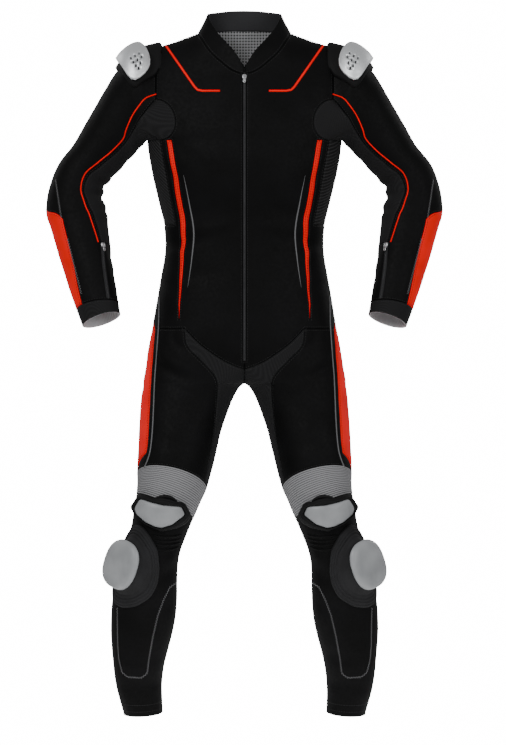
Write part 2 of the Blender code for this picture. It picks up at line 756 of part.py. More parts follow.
# Knee cup, seen from the front.
KNEE_MIDDLE = (172, -988)
KNEE_PLATE = (
    (214, -956), (195, -963), (167, -970), (129, -973), (121, -989), (147, -1009), (169, -1016),
    (184, -1013), (203, -1004), (222, -988), (226, -976),
)  # fmt: skip
KNEE_FRAME = (
    (217, -945), (186, -955), (169, -953), (152, -956), (134, -963), (121, -964), (107, -992),
    (117, -1007), (136, -1017), (171, -1024), (204, -1009), (226, -990), (231, -977), (230, -966),
)  # fmt: skip

# Knee slider: where its middle is, the outline of its base as (across, up), and the puck's half
# sizes across and up.
SLIDER_LEVEL, SLIDER_ANGLE = -1096, 44
SLIDER_BASE = (
    (0, 74), (-16, 72), (-36, 61), (-60, 42), (-71, 10), (-70, -22), (-58, -52), (-34, -76),
    (-4, -86), (22, -82), (42, -60), (53, -28), (55, 6), (48, 38), (26, 62), (12, 73),
)  # fmt: skip
SLIDER_PUCK = (48.5, 53)
BASE_HEIGHT, PUCK_FOOT, PUCK_TOP = 7, 18, 38

# Shoulder guard: edges as (ring, column) of the sleeve, front half; the back half mirrors them.
SHOULDER_CUP = (
    (0.62, 0.0), (0.58, 0.47), (0.51, 1.03), (0.44, 1.50), (0.42, 1.93), (0.54, 2.23), (0.77, 2.60),
    (1.04, 2.78), (1.21, 2.76), (1.31, 2.48), (1.40, 2.04), (1.49, 1.58), (1.60, 1.05), (1.66, 0.50),
    (1.68, 0.0),
)  # fmt: skip
SHOULDER_PAD = (
    (-0.30, 0.0), (-0.31, 0.60), (-0.31, 1.13), (-0.30, 1.78), (-0.03, 2.30), (0.44, 2.69),
    (0.88, 2.96), (1.27, 2.94), (1.50, 2.58), (1.67, 1.90), (1.86, 1.0), (1.95, 0.50), (2.0, 0.0),
)  # fmt: skip
GUARD_MIDDLE = (0.9, 0.0)
PAD_THICK, CUP_THICK = 7.0, 4.5

# Zip sliders and their pulls.
MAIN_SLIDER_LEVEL = -93
SLIDER_SIZE = (9.0, 11.0, 3.0)
CROWN_HALF, CROWN_WIDTH, CROWN_RISE = 3.6, 2.0, 3.2
PULL_BAR, PULL_REACH, PULL_WIDTH, PULL_THICK = 1.2, 14.0, 6.0, 1.4
LIFT = 1.0  # of what lies on a panel


def trunk_front(x, z):
    """The point of the trunk's or leg's front that is seen at (x, z)."""
    if z > LEVELS[ARMPIT]:
        return yoke_point(x, z, False)
    level = z
    for _ in range(8):
        place = Section(level).point(x, False)
        level += z - place.z
    return place


def spaced(path, step):
    """Points along a line, no further apart than a step."""
    found = []
    for a, b in zip(path, path[1:]):
        a, b = Vector(a), Vector(b)
        count = max(1, math.ceil((b - a).length / step))
        found += [a.lerp(b, i / count) for i in range(count)]
    return found + [Vector(path[-1])]


def closed_loft(loops):
    """A closed solid through loops of the same number of points, capped at both ends."""
    points, faces = [], []
    for loop in loops:
        points += loop
    count = len(loops[0])
    for i in range(len(loops) - 1):
        for j in range(count):
            a, b = i * count + j, i * count + (j + 1) % count
            faces.append((a, b, b + count, a + count))
    last = len(points) - count
    faces.append(tuple(reversed(range(count))))
    faces.append(tuple(range(last, last + count)))
    return points, outward(points, faces)


def outward(points, faces):
    """The faces, turned round if they enclose a negative volume."""
    volume = 0.0
    for face in faces:
        for b, c in zip(face[1:], face[2:]):
            volume += points[face[0]].dot(points[b].cross(points[c]))
    return faces if volume > 0 else [tuple(reversed(face)) for face in faces]


def settle(suit, place, lift):
    """A point moved out until it clears the coarse panels by a lift."""
    nearest, normal, _, _ = suit.tree.find_nearest(place)
    clear = (place - nearest).dot(normal)
    return place + normal * max(lift - clear, 0.0)


def ribbon(suit, line, widths, thick, lift=LIFT):
    """A flat strip that lies on the suit along a line of its points."""
    loops = []
    for i, place in enumerate(line):
        along = (line[min(i + 1, len(line) - 1)] - line[max(i - 1, 0)]).normalized()
        normal = suit.tree.find_nearest(place)[1]
        beside = normal.cross(along).normalized() * widths[i] / 2
        low = [settle(suit, place - beside, lift), settle(suit, place + beside, lift)]
        loops.append([low[0], low[1], low[1] + normal * thick, low[0] + normal * thick])
    return closed_loft(loops)


def disc(centre, rings):
    """A closed solid of two skins. centre is (low, high); a ring is a list of (low, high)."""
    count = len(rings[0])
    points = list(centre)
    for ring in rings:
        points += [pair[0] for pair in ring] + [pair[1] for pair in ring]
    faces = []
    for j in range(count):
        k = (j + 1) % count
        faces.append((0, 2 + j, 2 + k))
        faces.append((1, 2 + count + k, 2 + count + j))
        for i in range(len(rings) - 1):
            inner, outer = 2 + 2 * count * i, 2 + 2 * count * (i + 1)
            faces.append((inner + j, outer + j, outer + k, inner + k))
            faces.append((inner + count + j, inner + count + k, outer + count + k, outer + count + j))
        edge = 2 + 2 * count * (len(rings) - 1)
        faces.append((edge + j, edge + count + j, edge + count + k, edge + k))
    return points, outward(points, faces)


def around(outline, middle, count):
    """Points of an outline at even angles round its middle."""
    corners = [Vector(p) - Vector(middle) for p in outline]
    found = []
    for i in range(count):
        way = Vector((math.cos(2 * math.pi * i / count), math.sin(2 * math.pi * i / count)))
        for a, b in zip(corners, corners[1:] + corners[:1]):
            side_a, side_b = way.x * a.y - way.y * a.x, way.x * b.y - way.y * b.x
            if side_a * side_b <= 0 and side_a != side_b:
                hit = a.lerp(b, side_a / (side_a - side_b))
                if hit.dot(way) > 0:
                    found.append(Vector(middle) + hit)
                    break
    return found


def knee_under(suit, x, z, lift):
    """The point of the leg's front, and its outward way, that a lift brings to (x, z)."""
    aim = Vector((x, z))
    for _ in range(6):
        level = min(max(aim.y, -1080), -900)
        section = Section(level)
        held = min(max(aim.x, section.inner + 1.5), section.out - 1.5)
        place = trunk_front(held, level)
        step = trunk_front(held + 1.0, level) - place
        rise = trunk_front(held, level + 1.0) - place
        normal = step.cross(rise).normalized()
        seen = place + normal * lift
        aim += Vector((x - seen.x, z - seen.z)) * 0.7
    return place, normal


def knee_cup(suit):
    """The frame and the plate of a knee cup."""
    count = 24
    plate = around(KNEE_PLATE, KNEE_MIDDLE, count)
    frame = around(KNEE_FRAME, KNEE_MIDDLE, count)
    middle = Vector(KNEE_MIDDLE)

    def ring(outline, scale, low, high, lift):
        found = []
        for spot in outline:
            at = middle + (spot - middle) * scale
            place, normal = knee_under(suit, at.x, at.y, lift)
            found.append((settle(suit, place + normal * low, low), place + normal * high))
        return found

    low = 2.8
    place, normal = knee_under(suit, *KNEE_MIDDLE, 10)
    tray = disc(
        (settle(suit, place + normal * low, low), place + normal * 8),
        [
            ring(plate, 0.55, low, 7.5, 10),
            ring(plate, 1.0, low, 6.5, 10),
            ring(plate, 1.05, low, 14, 12),
            ring(frame, 0.97, low, 12, 12),
            ring(frame, 1.0, low, 6, 8),
        ],
    )
    lens = disc(
        (place + normal * 9.4, place + normal * 16.5),
        [
            ring(plate, 0.5, 9.0, 16, 14),
            ring(plate, 0.84, 8.6, 14, 14),
            ring(plate, 0.94, 8.4, 11, 12),
        ],
    )
    return tray, lens


def leg_point(level, angle):
    """A point of the leg at an angle round it from the front, positive outwards."""
    section = Section(level)
    side = math.sin(math.radians(angle))
    side = math.copysign(abs(side) ** (2 / section.power), side)
    return section.point(section.centre + section.half * side, abs(angle) > 90)


def oval(half_across, half_up, count, power=2.3):
    """Points round a squared oval, as (across, up)."""
    found = []
    for i in range(count):
        turn = 2 * math.pi * i / count
        c, s = math.cos(turn), math.sin(turn)
        found.append(
            (
                half_across * math.copysign(abs(c) ** (2 / power), c),
                half_up * math.copysign(abs(s) ** (2 / power), s),
            )
        )
    return found


def knee_slider(suit):
    """The ridged base of a knee slider, and the puck on it."""
    origin = leg_point(SLIDER_LEVEL, SLIDER_ANGLE)
    up = (leg_point(SLIDER_LEVEL + 20, SLIDER_ANGLE) - leg_point(SLIDER_LEVEL - 20, SLIDER_ANGLE))
    up.normalize()
    normal = (leg_point(SLIDER_LEVEL, SLIDER_ANGLE + 5) - leg_point(SLIDER_LEVEL, SLIDER_ANGLE - 5))
    normal = normal.cross(up).normalized()
    if normal.y > 0:
        normal.negate()
    side = normal.cross(up)
    if side.x < 0:
        side.negate()
    radius = 64.0
    count = 24

    def on_leg(across, rise, low, high):
        place = leg_point(SLIDER_LEVEL + rise, SLIDER_ANGLE + math.degrees(across / radius))
        way = suit.tree.find_nearest(place)[1]
        return settle(suit, place, low), settle(suit, place, low) + way * high

    def on_plane(across, rise, height):
        return origin + side * across + up * rise + normal * height

    rings = []
    outline = around(SLIDER_BASE, (0, 0), count)
    for scale, rest, height in (
        (0.3, 3.2, None), (0.55, 3.2, None), (0.76, 3.0, BASE_HEIGHT), (1.0, 2.2, BASE_HEIGHT - 2),
    ):  # fmt: skip
        ring = []
        for across, rise in outline:
            low, high = on_leg(across * scale, rise * scale, rest, height or 0)
            if height is None:
                high = on_plane(across * scale, rise * scale, PUCK_FOOT)
            ring.append((low, high))
        rings.append(ring)
    centre = (on_leg(0, 0, 3.2, 0)[0], on_plane(0, 0, PUCK_FOOT))
    base = disc(centre, rings)
    puck_rings = []
    for scale, height in ((0.5, 0.0), (0.8, 1.5), (0.93, 5.0), (1.0, 11.0)):
        puck_rings.append(
            [
                (
                    on_plane(across * scale * 0.9, rise * scale * 0.9, PUCK_FOOT + 0.4),
                    on_plane(across * scale, rise * scale, PUCK_TOP - height),
                )
                for across, rise in oval(*SLIDER_PUCK, count)
            ]
        )
    puck = disc((on_plane(0, 0, PUCK_FOOT + 0.4), on_plane(0, 0, PUCK_TOP)), puck_rings)
    return base, puck


def shoulder_guard(suit):
    """The padded base and the cup of a shoulder guard."""
    count = 24

    def both(half):
        return list(half) + [(ring, -column) for ring, column in reversed(half[1:-1])]

    def lifted(at, low, high):
        place = sleeve_point(at.x, at.y)
        step = 0.05
        along = sleeve_point(at.x + step, at.y) - place
        beside = sleeve_point(at.x, at.y + step) - place
        normal = beside.cross(along).normalized()
        if normal.dot(place - Vector((150, 0, -150))) < 0:
            normal.negate()
        return settle(suit, place + normal * low, min(low, 3.0)), place + normal * high

    def slab(outline, steps, centre):
        middle = Vector(GUARD_MIDDLE)
        spots = around(both(outline), GUARD_MIDDLE, count)
        rings = [
            [lifted(middle + (spot - middle) * scale, low, high) for spot in spots]
            for scale, low, high in steps
        ]
        return disc(lifted(middle, *centre), rings)

    top = 2.8 + PAD_THICK
    pad = slab(
        SHOULDER_PAD, ((0.35, 3, top), (0.7, 3, top), (0.92, 3, top - 2), (1.0, 3, 6)),
        (3, top),
    )  # fmt: skip
    low = top + 5.8
    high = low + CUP_THICK
    cup = slab(
        SHOULDER_CUP,
        ((0.35, low, high + 3), (0.7, low, high + 2.2), (0.92, low, high), (1.0, low, high - 2.5)),
        (low, high + 3.4),
    )
    return pad, cup


def frame_at(place, normal, down):
    """A frame on a zip: x across it, y into the suit and z up along it."""
    up = -down.normalized()
    into = -normal.normalized()
    beside = into.cross(up).normalized()
    into = up.cross(beside).normalized()
    frame = Matrix((beside, into, up)).transposed().to_4x4()
    frame.translation = place
    return frame


def block(low, high):
    """The corners and faces of a box."""
    made = bmesh.new()
    bmesh.ops.create_cube(made, size=1.0)
    size = [high[i] - low[i] for i in range(3)]
    middle = [(high[i] + low[i]) / 2 for i in range(3)]
    for corner in made.verts:
        corner.co = Vector(corner.co[i] * size[i] + middle[i] for i in range(3))
    return made


def join_blocks(name, boxes, frame, finish):
    """One solid made of boxes joined by Booleans, in a frame given in millimetres."""
    target = None
    for i, (low, high) in enumerate(boxes):
        made = block(low, high)
        mesh = bpy.data.meshes.new(f"{name}_{i}")
        made.to_mesh(mesh)
        made.free()
        mesh.transform(Matrix.Scale(MM, 4))
        piece = bpy.data.objects.new(f"{name}_{i}" if i else name, mesh)
        if i == 0:
            target = piece
            bpy.data.collections["race_suit"].objects.link(piece)
        else:
            piece.hide_render = True
            piece.display_type = "WIRE"
            bpy.data.collections["cutters"].objects.link(piece)
            joined = target.modifiers.new(f"join_{i}", "BOOLEAN")
            joined.operation = "UNION"
            joined.solver = "EXACT"
            joined.object = piece
            piece.parent = target
    target.data.materials.append(finish)
    target.matrix_world = Matrix.Translation(frame.translation * MM) @ frame.to_3x3().to_4x4()
    return target


def zip_slider(name, frame, finish):
    """A slider: its body, and the crown that the pull hangs on."""
    wide, long, thick = (size / 2 for size in SLIDER_SIZE)
    half = CROWN_WIDTH / 2
    rise = -thick - CROWN_RISE
    boxes = [
        ((-wide, -thick, -long), (wide, thick, long)),
        ((-half, rise, CROWN_HALF - 1), (half, -thick + 0.5, CROWN_HALF)),
        ((-half, rise, -CROWN_HALF), (half, -thick + 0.5, 1 - CROWN_HALF)),
        ((-half, rise, -CROWN_HALF), (half, rise + 1, CROWN_HALF)),
    ]
    return join_blocks(name, boxes, frame, finish)


def zip_pull(name, frame, finish):
    """A pull tab, with its origin on the bar that passes under the slider's crown."""
    bar, wide, thick = PULL_BAR / 2, PULL_WIDTH / 2, PULL_THICK / 2
    arm = CROWN_WIDTH / 2 + 0.5
    inner = CROWN_HALF + 1.4
    pivot = frame @ Matrix.Translation((0, -SLIDER_SIZE[2] / 2 - 1.1, 0))
    boxes = [
        ((-wide, -thick, -PULL_REACH), (wide, thick, -inner)),
        ((arm, -thick, -inner - 1), (wide, thick, bar)),
        ((-wide, -thick, -inner - 1), (-arm, thick, bar)),
        ((-wide, -bar, -bar), (wide, bar, bar)),
    ]
    return join_blocks(name, boxes, pivot, finish)


def surface_frame(suit, place, below, lift):
    """A frame on the suit at a place, with a point further down the zip."""
    nearest, normal, _, _ = suit.tree.find_nearest(place)
    if abs(place.x) < 0.01:
        nearest.x = normal.x = 0
    down = below - place
    down -= normal * down.dot(normal)
    return frame_at(nearest + normal * lift, normal, down)


def flipped(frame):
    """The mirror image of a frame in the suit's middle, still right-handed."""
    mirror = Matrix.Diagonal((-1, 1, 1, 1))
    return mirror @ frame @ mirror


def main():
    for old in list(bpy.data.objects):
        bpy.data.objects.remove(old)
    for name in ("race_suit", "cutters"):
        bpy.context.scene.collection.children.link(bpy.data.collections.new(name))
    bpy.data.collections["cutters"].hide_render = True

    black = material("black_cowhide", (0.012, 0.012, 0.012), 0.5)
    red = material("red_cowhide", (0.8, 0.0, 0.0), 0.5)
    stretch = material("charcoal_stretch_cloth", (0.012, 0.012, 0.012), 0.85)
    ribs = material("grey_ribbed_stretch", (0.24, 0.24, 0.24), 0.7)
    lining = material("grey_mesh_lining", (0.22, 0.22, 0.22), 0.9)
    tape = material("woven_zip_tape", (0.033, 0.033, 0.033), 0.8)
    nickel = material("nickel_plated_zinc", (0.6, 0.6, 0.6), 0.3, 1.0)
    alloy = material("brushed_aluminium", (0.55, 0.56, 0.57), 0.35, 1.0)
    grey = material("grey_moulded_plastic", (0.28, 0.29, 0.3), 0.4)
    rubber = material("black_moulded_rubber", (0.01, 0.01, 0.01), 0.7)

    suit = Suit()
    finishes = {
        "zip_tape": tape,
        "calf_zip": tape,
        "side_stripe": red,
        "thigh_panel": red,
        "forearm_panel": red,
        "side_ribs": stretch,
        "sleeve_stretch": stretch,
        "crotch_gusset": stretch,
        "cuff": stretch,
        "knee_ribs": ribs,
    }
    for name, place in PANELS.items():
        over = place[4]
        made = wall(suit, suit.panels[name], 0.0, WALLS.get(name, LEATHER), over)
        (add_mesh if over else add_both)(name, *made, finishes.get(name, black))

    inside = [f[4] for f in suit.faces if f[0] == "collar" and f[2] >= 3]
    add_mesh("collar_facing", *wall(suit, inside, COLLAR_WALL + 0.4, LINING, "behind"), stretch)
    inside = [f[4] for f in suit.faces if f[0] == "trunk" and f[1] < 4 and f[2] >= 12]
    add_mesh("back_lining", *wall(suit, inside, LEATHER + 0.4, LINING, True), lining)
    inside = [f[4] for f in suit.faces if f[0] == "sleeve" and f[1] == CUFF_TOP]
    add_both("cuff_lining", *wall(suit, inside, LEATHER + 0.4, LINING, False), lining)

    line = [trunk_front(x, z) for x, z in spaced(CHEST_STRIPE, 9)]
    add_both("chest_stripe", *ribbon(suit, line, [CHEST_STRIPE_WIDTH] * len(line), 1.2), red)
    line = [trunk_front(x, z) for x, z in spaced(THIGH_PIPING, 16)]
    add_both("thigh_piping", *ribbon(suit, line, [PIPING_WIDTH] * len(line), 1.4), ribs)
    fixed = [trunk_point(PIPING_START - 0.3, ARMPIT - 0.6), trunk_point(PIPING_START, ARMPIT)]
    for ring in range(1, STRETCH_END + 1):
        angle = math.degrees(math.asin(2 * SLEEVE[ring - 1][9] - 1))
        fixed.append(ring_point(ring, angle))
    line = []
    for i in range(1, len(fixed) - 1):
        four = [fixed[min(max(i + step, 0), len(fixed) - 1)] for step in (-1, 0, 1, 2)]
        line += [follow(four, part / 4) for part in range(4)]
    line.append(fixed[-1])
    add_both("sleeve_piping", *ribbon(suit, line, [PIPING_WIDTH] * len(line), 1.4), red)
    steps = [STRETCH_END + 0.05 + (CUFF_TOP - STRETCH_END - 0.1) * i / 8 for i in range(9)]
    line = [sleeve_point(ring, PANEL_AT) for ring in steps]
    add_both("cuff_zip", *ribbon(suit, line, [CUFF_ZIP_WIDTH] * len(line), 1.0, 1.4), tape)

    pad, cup = shoulder_guard(suit)
    add_both("shoulder_pad", *pad, rubber)
    add_both("shoulder_cup", *cup, alloy)
    tray, lens = knee_cup(suit)
    add_both("knee_frame", *tray, rubber)
    add_both("knee_plate", *lens, grey)
    base, puck = knee_slider(suit)
    add_both("slider_base", *base, rubber)
    add_both("slider_puck", *puck, grey)

    here, below = trunk_front(0, MAIN_SLIDER_LEVEL), trunk_front(0, MAIN_SLIDER_LEVEL - 20)
    frame = surface_frame(suit, here, below, SLIDER_SIZE[2] / 2 + 0.5)
    zip_slider("zip_slider", frame, nickel)
    zip_pull("zip_pull", frame, nickel)
    here, below = sleeve_point(STRETCH_END + 0.12, PANEL_AT), sleeve_point(STRETCH_END + 0.5, PANEL_AT)
    frame = surface_frame(suit, here, below, SLIDER_SIZE[2] / 2 + 2.6)
    for side, turned in (("l", frame), ("r", flipped(frame))):
        zip_slider(f"cuff_slider_{side}", turned, nickel)
        zip_pull(f"cuff_pull_{side}", turned, nickel)


main()
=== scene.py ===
"""A one-piece motorcycle race suit, standing filled out and hollow, as on a rider who isn't there.

The cloth is one surface, worked out from sections of the trunk, the legs and the sleeves. Rows run
round each section and columns run down it. Every seam is a path over that grid, and each panel is
the part of the grid between its seams. Creases are drawn on the surface, the panels become thin
sheets, and whatever is sewn or fixed on them is laid on the creased surface.

Sizes are in millimetres in the tables and in metres in the properties. X is across, the front
faces -Y and +Z is up. The origin is the middle of the neck.
"""

import json
import math
from functools import lru_cache

import bmesh
import bpy
import numpy as np
from bpy.props import FloatProperty, FloatVectorProperty, IntProperty, PointerProperty
from mathutils import Matrix, Vector, noise
from mathutils.bvhtree import BVHTree

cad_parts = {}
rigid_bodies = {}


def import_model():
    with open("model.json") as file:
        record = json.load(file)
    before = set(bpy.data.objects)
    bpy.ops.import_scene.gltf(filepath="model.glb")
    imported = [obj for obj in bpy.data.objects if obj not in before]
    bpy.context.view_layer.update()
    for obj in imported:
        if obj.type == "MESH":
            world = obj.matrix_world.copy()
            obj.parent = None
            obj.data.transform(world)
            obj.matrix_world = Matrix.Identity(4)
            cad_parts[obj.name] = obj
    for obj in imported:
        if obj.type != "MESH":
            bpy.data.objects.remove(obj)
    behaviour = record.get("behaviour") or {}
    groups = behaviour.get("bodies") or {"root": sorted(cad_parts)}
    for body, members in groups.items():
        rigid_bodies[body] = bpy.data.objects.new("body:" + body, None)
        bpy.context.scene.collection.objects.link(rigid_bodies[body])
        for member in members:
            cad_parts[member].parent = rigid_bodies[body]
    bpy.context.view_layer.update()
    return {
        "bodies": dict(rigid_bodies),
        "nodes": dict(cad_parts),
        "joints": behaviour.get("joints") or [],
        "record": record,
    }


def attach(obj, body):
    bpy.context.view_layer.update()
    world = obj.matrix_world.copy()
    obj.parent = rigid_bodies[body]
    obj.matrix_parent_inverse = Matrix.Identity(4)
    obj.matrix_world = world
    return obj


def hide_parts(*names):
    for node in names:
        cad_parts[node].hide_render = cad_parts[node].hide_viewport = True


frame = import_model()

bl_info = {
    "name": "Race Suit",
    "version": (1, 0, 0),
    "blender": (4, 5, 0),
    "location": "3D View > Sidebar > Race Suit",
    "description": "Builds a one-piece motorcycle race suit piece by piece",
    "category": "Add Mesh",
}

MM = 0.001

# Thickness of the cloths, in millimetres.
LEATHER, STRETCH, RIBBED, TAPE = 2.2, 2.0, 2.8, 1.8
COLLAR_WALL, LINING = 3.6, 1.0
# The trunk and the legs. level: height of the section's middle; out: side outline at that height;
# mid: middle of the section in depth; front, back: its depth before and behind; power: squareness;
# lean, tilt: slope of the section across and in depth.
BODY = (
    # level   out    mid  front back  power  lean   tilt
    (-222, 200.6, 0, 118, 112, 2.40, 0.00, 0.00),
    (-262, 195.0, 0, 121, 112, 2.40, 0.00, 0.00),
    (-308, 185.5, 0, 118, 106, 2.35, 0.00, 0.00),
    (-352, 175.0, 0, 111, 98, 2.30, 0.00, 0.00),
    (-395, 165.0, 0, 106, 92, 2.30, 0.00, 0.00),
    (-450, 163.0, 0, 104, 90, 2.30, 0.00, 0.00),
    (-510, 173.0, 0, 107, 100, 2.30, 0.00, 0.00),
    (-560, 181.5, 0, 110, 112, 2.30, 0.00, 0.00),
    (-608, 190.0, 0, 111, 122, 2.30, 0.00, 0.00),
    (-656, 199.0, 0, 108, 126, 2.30, 0.00, 0.00),
    (-692, 204.0, -2, 102, 122, 2.25, 0.00, 0.00),
    (-720, 209.3, -5, 97, 116, 2.20, 0.01, 0.00),
    (-745, 212.0, -8, 94, 111, 2.15, 0.03, -0.01),
    (-775, 214.5, -13, 92, 105, 2.10, 0.07, -0.04),
    (-815, 217.0, -20, 90, 97, 2.08, 0.11, -0.11),
    (-855, 218.5, -28, 88, 89, 2.05, 0.15, -0.21),
    (-890, 220.5, -36, 84, 81, 2.05, 0.18, -0.31),
    (-920, 219.5, -42, 80, 75, 2.05, 0.21, -0.36),
    (-945, 221.0, -45, 78, 70, 2.05, 0.32, -0.26),
    (-972, 226.0, -46, 76, 67, 2.05, 0.42, -0.13),
    (-1010, 231.5, -43, 72, 66, 2.05, 0.36, -0.02),
    (-1060, 246.0, -36, 69, 68, 2.05, 0.28, 0.08),
    (-1115, 260.0, -25, 66, 74, 2.05, 0.24, 0.13),
    (-1170, 272.5, -13, 63, 77, 2.05, 0.19, 0.15),
    (-1230, 275.0, -2, 59, 74, 2.05, 0.12, 0.16),
    (-1290, 271.0, 8, 54, 65, 2.05, 0.04, 0.17),
    (-1345, 263.5, 15, 48, 54, 2.05, -0.02, 0.17),
    (-1398, 249.5, 21, 45, 48, 2.05, -0.06, 0.17),
)

CLOSING = -640  # level where the trunk's section starts to close at the middle

# The inside of the leg, by height.
INSEAM = (
    # level    x
    (-720, 0.0),
    (-728, 10.0),
    (-745, 20.5),
    (-775, 33.0),
    (-815, 46.5),
    (-855, 56.5),
    (-899, 67.5),
    (-932, 77.0),
    (-965, 91.0),
    (-1000, 106.0),
    (-1035, 120.5),
    (-1070, 132.5),
    (-1100, 137.0),
    (-1160, 138.5),
    (-1200, 141.5),
    (-1235, 148.5),
    (-1270, 157.5),
    (-1305, 165.5),
    (-1345, 169.5),
    (-1398, 168.0),
)

# The chest and shoulders, above the armpit: sections that would run on past the armhole.
YOKE = (
    # level  half  front back
    (60, 226, 58, 60),
    (0, 226, 62, 70),
    (-40, 226, 66, 84),
    (-80, 226, 77, 96),
    (-120, 226, 93, 105),
    (-160, 221, 107, 110),
    (-195, 211, 116, 112),
    (-222, 200.6, 118, 112),
)
SHOULDER_ROUND = 72  # drop over which the chest turns up into the shoulder seam
DOME = 46  # height that the shoulder line would reach over the neck

# Neck seam and shoulder seam, seen from the front.
NECK_FRONT = ((0, -86), (14, -83), (30, -75), (45, -63), (72, -37), (96, 0))
NECK_BACK = ((0, 7), (34, 7), (64, 5), (84, 3), (96, 0))
SHOULDER = ((96, 0), (140, -17), (182, -29))

# The top edge of the collar, from the front of the neck round to the back.
COLLAR_TOP = (
    # x     y    z
    (0.6, -81, -80),
    (5, -78, -66),
    (20, -69, -40),
    (40, -56, -18),
    (61, -37, 7),
    (76, -6, 36),
    (70, 18, 41),
    (53, 38, 44),
    (28, 51, 47),
    (0, 56, 48),
)

# Levels of the rows. The first eight are heights on the armhole.
ARMHOLE_LEVELS = (-29, -50, -80, -110, -138, -160, -190, -222)
LEVELS = ARMHOLE_LEVELS + (
    -262, -308, -352, -395, -450, -510, -560, -590, -608, -636, -656, -675, -686, -692, -706, -714,
    -720, -728, -745, -775, -815, -855, -890, -920, -945, -972, -1010, -1060, -1115, -1170, -1230,
    -1290, -1345, -1398,
)  # fmt: skip

# Columns: 0 is the centre front, or the inside of the leg; 9 the side; 16 the centre back.
SIDE, LAST = 9, 16
ARMPIT, RIBS_END, STRIPE_END, HIP = 7, 11, 15, 16
TAPE_END, WING_END, CROTCH, KNEE_TOP, KNEE_LOW, ZIP_TOP = 19, 21, 24, 31, 33, 36
HEM = len(LEVELS) - 1
TAPE_HALF = 3.0
TOP_FRONT = (0, TAPE_HALF, 32, 62, 84, 96, 140, 182)
TOP_BACK = (182, 140, 96, 84, 62, 32, 0)
NECK_POINT = 5  # the column that meets the neck and shoulder seams
COLLAR_SHIFT = 7  # from the collar's columns behind the neck point to the trunk's

# Seams that run down the trunk and leg, as x by height.
STRIPE_IN = ((-222, 150.0), (-400, 120.4), (-590, 134.6))
STRIPE_OUT = ((-222, 159.6), (-400, 130.8), (-560, 135.2), (-590, 136.2))
FLANK = ((-222, 174.0), (-395, 143.0), (-500, 149.0), (-608, 157.0))
THIGH_FRONT = (
    (-590, 185.0), (-608, 184.6), (-644, 187.4), (-714, 192.3), (-786, 195.6), (-844, 199.3),
    (-890, 207.0), (-920, 214.0),
)  # fmt: skip
GUSSET_TOP = ((-608, 123.6), (-636, 96.5), (-656, 71.0), (-675, 42.0), (-686, 18.5), (-692, 0.0))
GUSSET_LOW = (
    (-608, 123.6), (-644, 118.0), (-672, 91.5), (-695, 69.0), (-712, 57.6), (-728, 55.0),
    (-761, 56.6), (-808, 60.7), (-856, 66.9), (-920, 80.0),
)  # fmt: skip
CALF_ZIP = ((-1010, 16.0), (-1115, 4.0), (-1398, 4.0))  # half the width of the gap it fills

# The sleeve. outer and inner are the ends of each section, seen from the front; y its middle in
# depth; tilt its slope in degrees; panel, piping, outside: how far across from the inner end
# the stretch panel's seam, the piping and the outer panel's seam lie.
SLEEVE = (
    # outer x, z   inner x, z    y  front back tilt  panel piping outside
    (226, -44, 207, -229, 0, 77, 77, 1, 0.33, 0.39, 1.0),
    (262, -78, 217, -238, 3, 73, 74, 2, 0.25, 0.33, 1.0),
    (292, -125, 235, -256, 6, 68, 69, 3, 0.20, 0.275, 1.0),
    (321, -175, 253, -278, 8, 64, 65, 4, 0.215, 0.29, 1.0),
    (351, -228, 273, -299, 11, 60, 61, 6, 0.27, 0.36, 1.0),
    (384, -271, 288, -316, 13, 58, 60, 8, 0.32, 0.405, 1.0),
    (403, -322, 291, -334, 12, 58, 60, 10, 0.34, 0.40, 1.0),
    (408, -360, 286, -357, 8, 57, 58, 12, 0.295, 0.355, 1.0),
    (406, -380, 283, -371, 4, 56, 57, 13, 0.26, 0.33, 0.87),
    (400, -397, 281, -385, 0, 55, 56, 14, 0.23, 0.305, 0.775),
    (383, -455, 275, -440, -17, 52, 52, 17, 0.17, 0.23, 0.785),
    (365, -512, 268, -492, -35, 48, 48, 18, 0.205, 0.25, 0.82),
    (345, -569, 258, -557, -53, 43, 43, 18, 0.235, 0.26, 0.87),
    (333, -602, 254, -578, -62, 39, 39, 18, 0.25, 0.27, 0.88),
)
SLEEVE_COLUMNS = 17
PANEL_AT, UNDER_AT, PANEL_BACK_AT = 4, 9, 13
RED_TIP, RED_FULL, STRETCH_END, CUFF_TOP, CUFF_END = 8, 10, 11, 13, 14


def straight(rows, at, column=1):
    """The value of a table's column at a height, on straight lines between its rows."""
    if (rows[0][0] - at) * (rows[0][0] - rows[-1][0]) <= 0:
        return rows[0][column]
    for low, high in zip(rows, rows[1:]):
        if (low[0] - at) * (high[0] - at) <= 0:
            part = (at - low[0]) / (high[0] - low[0])
            return low[column] + (high[column] - low[column]) * part
    return rows[-1][column]


def smooth(rows, at, column=1):
    """The value of a table's column at a height, on a smooth curve through its rows."""
    for i, (low, high) in enumerate(zip(rows, rows[1:])):
        if (low[0] - at) * (high[0] - at) <= 0:
            break
    else:
        inside = (rows[0][0] - at) * (rows[0][0] - rows[-1][0]) > 0
        return rows[-1 if inside else 0][column]
    span = high[0] - low[0]
    before, after = rows[max(i - 1, 0)], rows[min(i + 2, len(rows) - 1)]
    start = (high[column] - before[column]) / (high[0] - before[0]) * span
    end = (after[column] - low[column]) / (after[0] - low[0]) * span
    t = (at - low[0]) / span
    return (
        low[column] * (2 * t**3 - 3 * t**2 + 1)
        + start * (t**3 - 2 * t**2 + t)
        + high[column] * (3 * t**2 - 2 * t**3)
        + end * (t**3 - t**2)
    )


def bulge(across, power):
    """Depth of a squared oval, as a share of its greatest, at a share of the way across."""
    return max(0.0, 1.0 - abs(across) ** power) ** (1.0 / power)


def ease(t):
    t = min(max(t, 0.0), 1.0)
    return t * t * (3 - 2 * t)


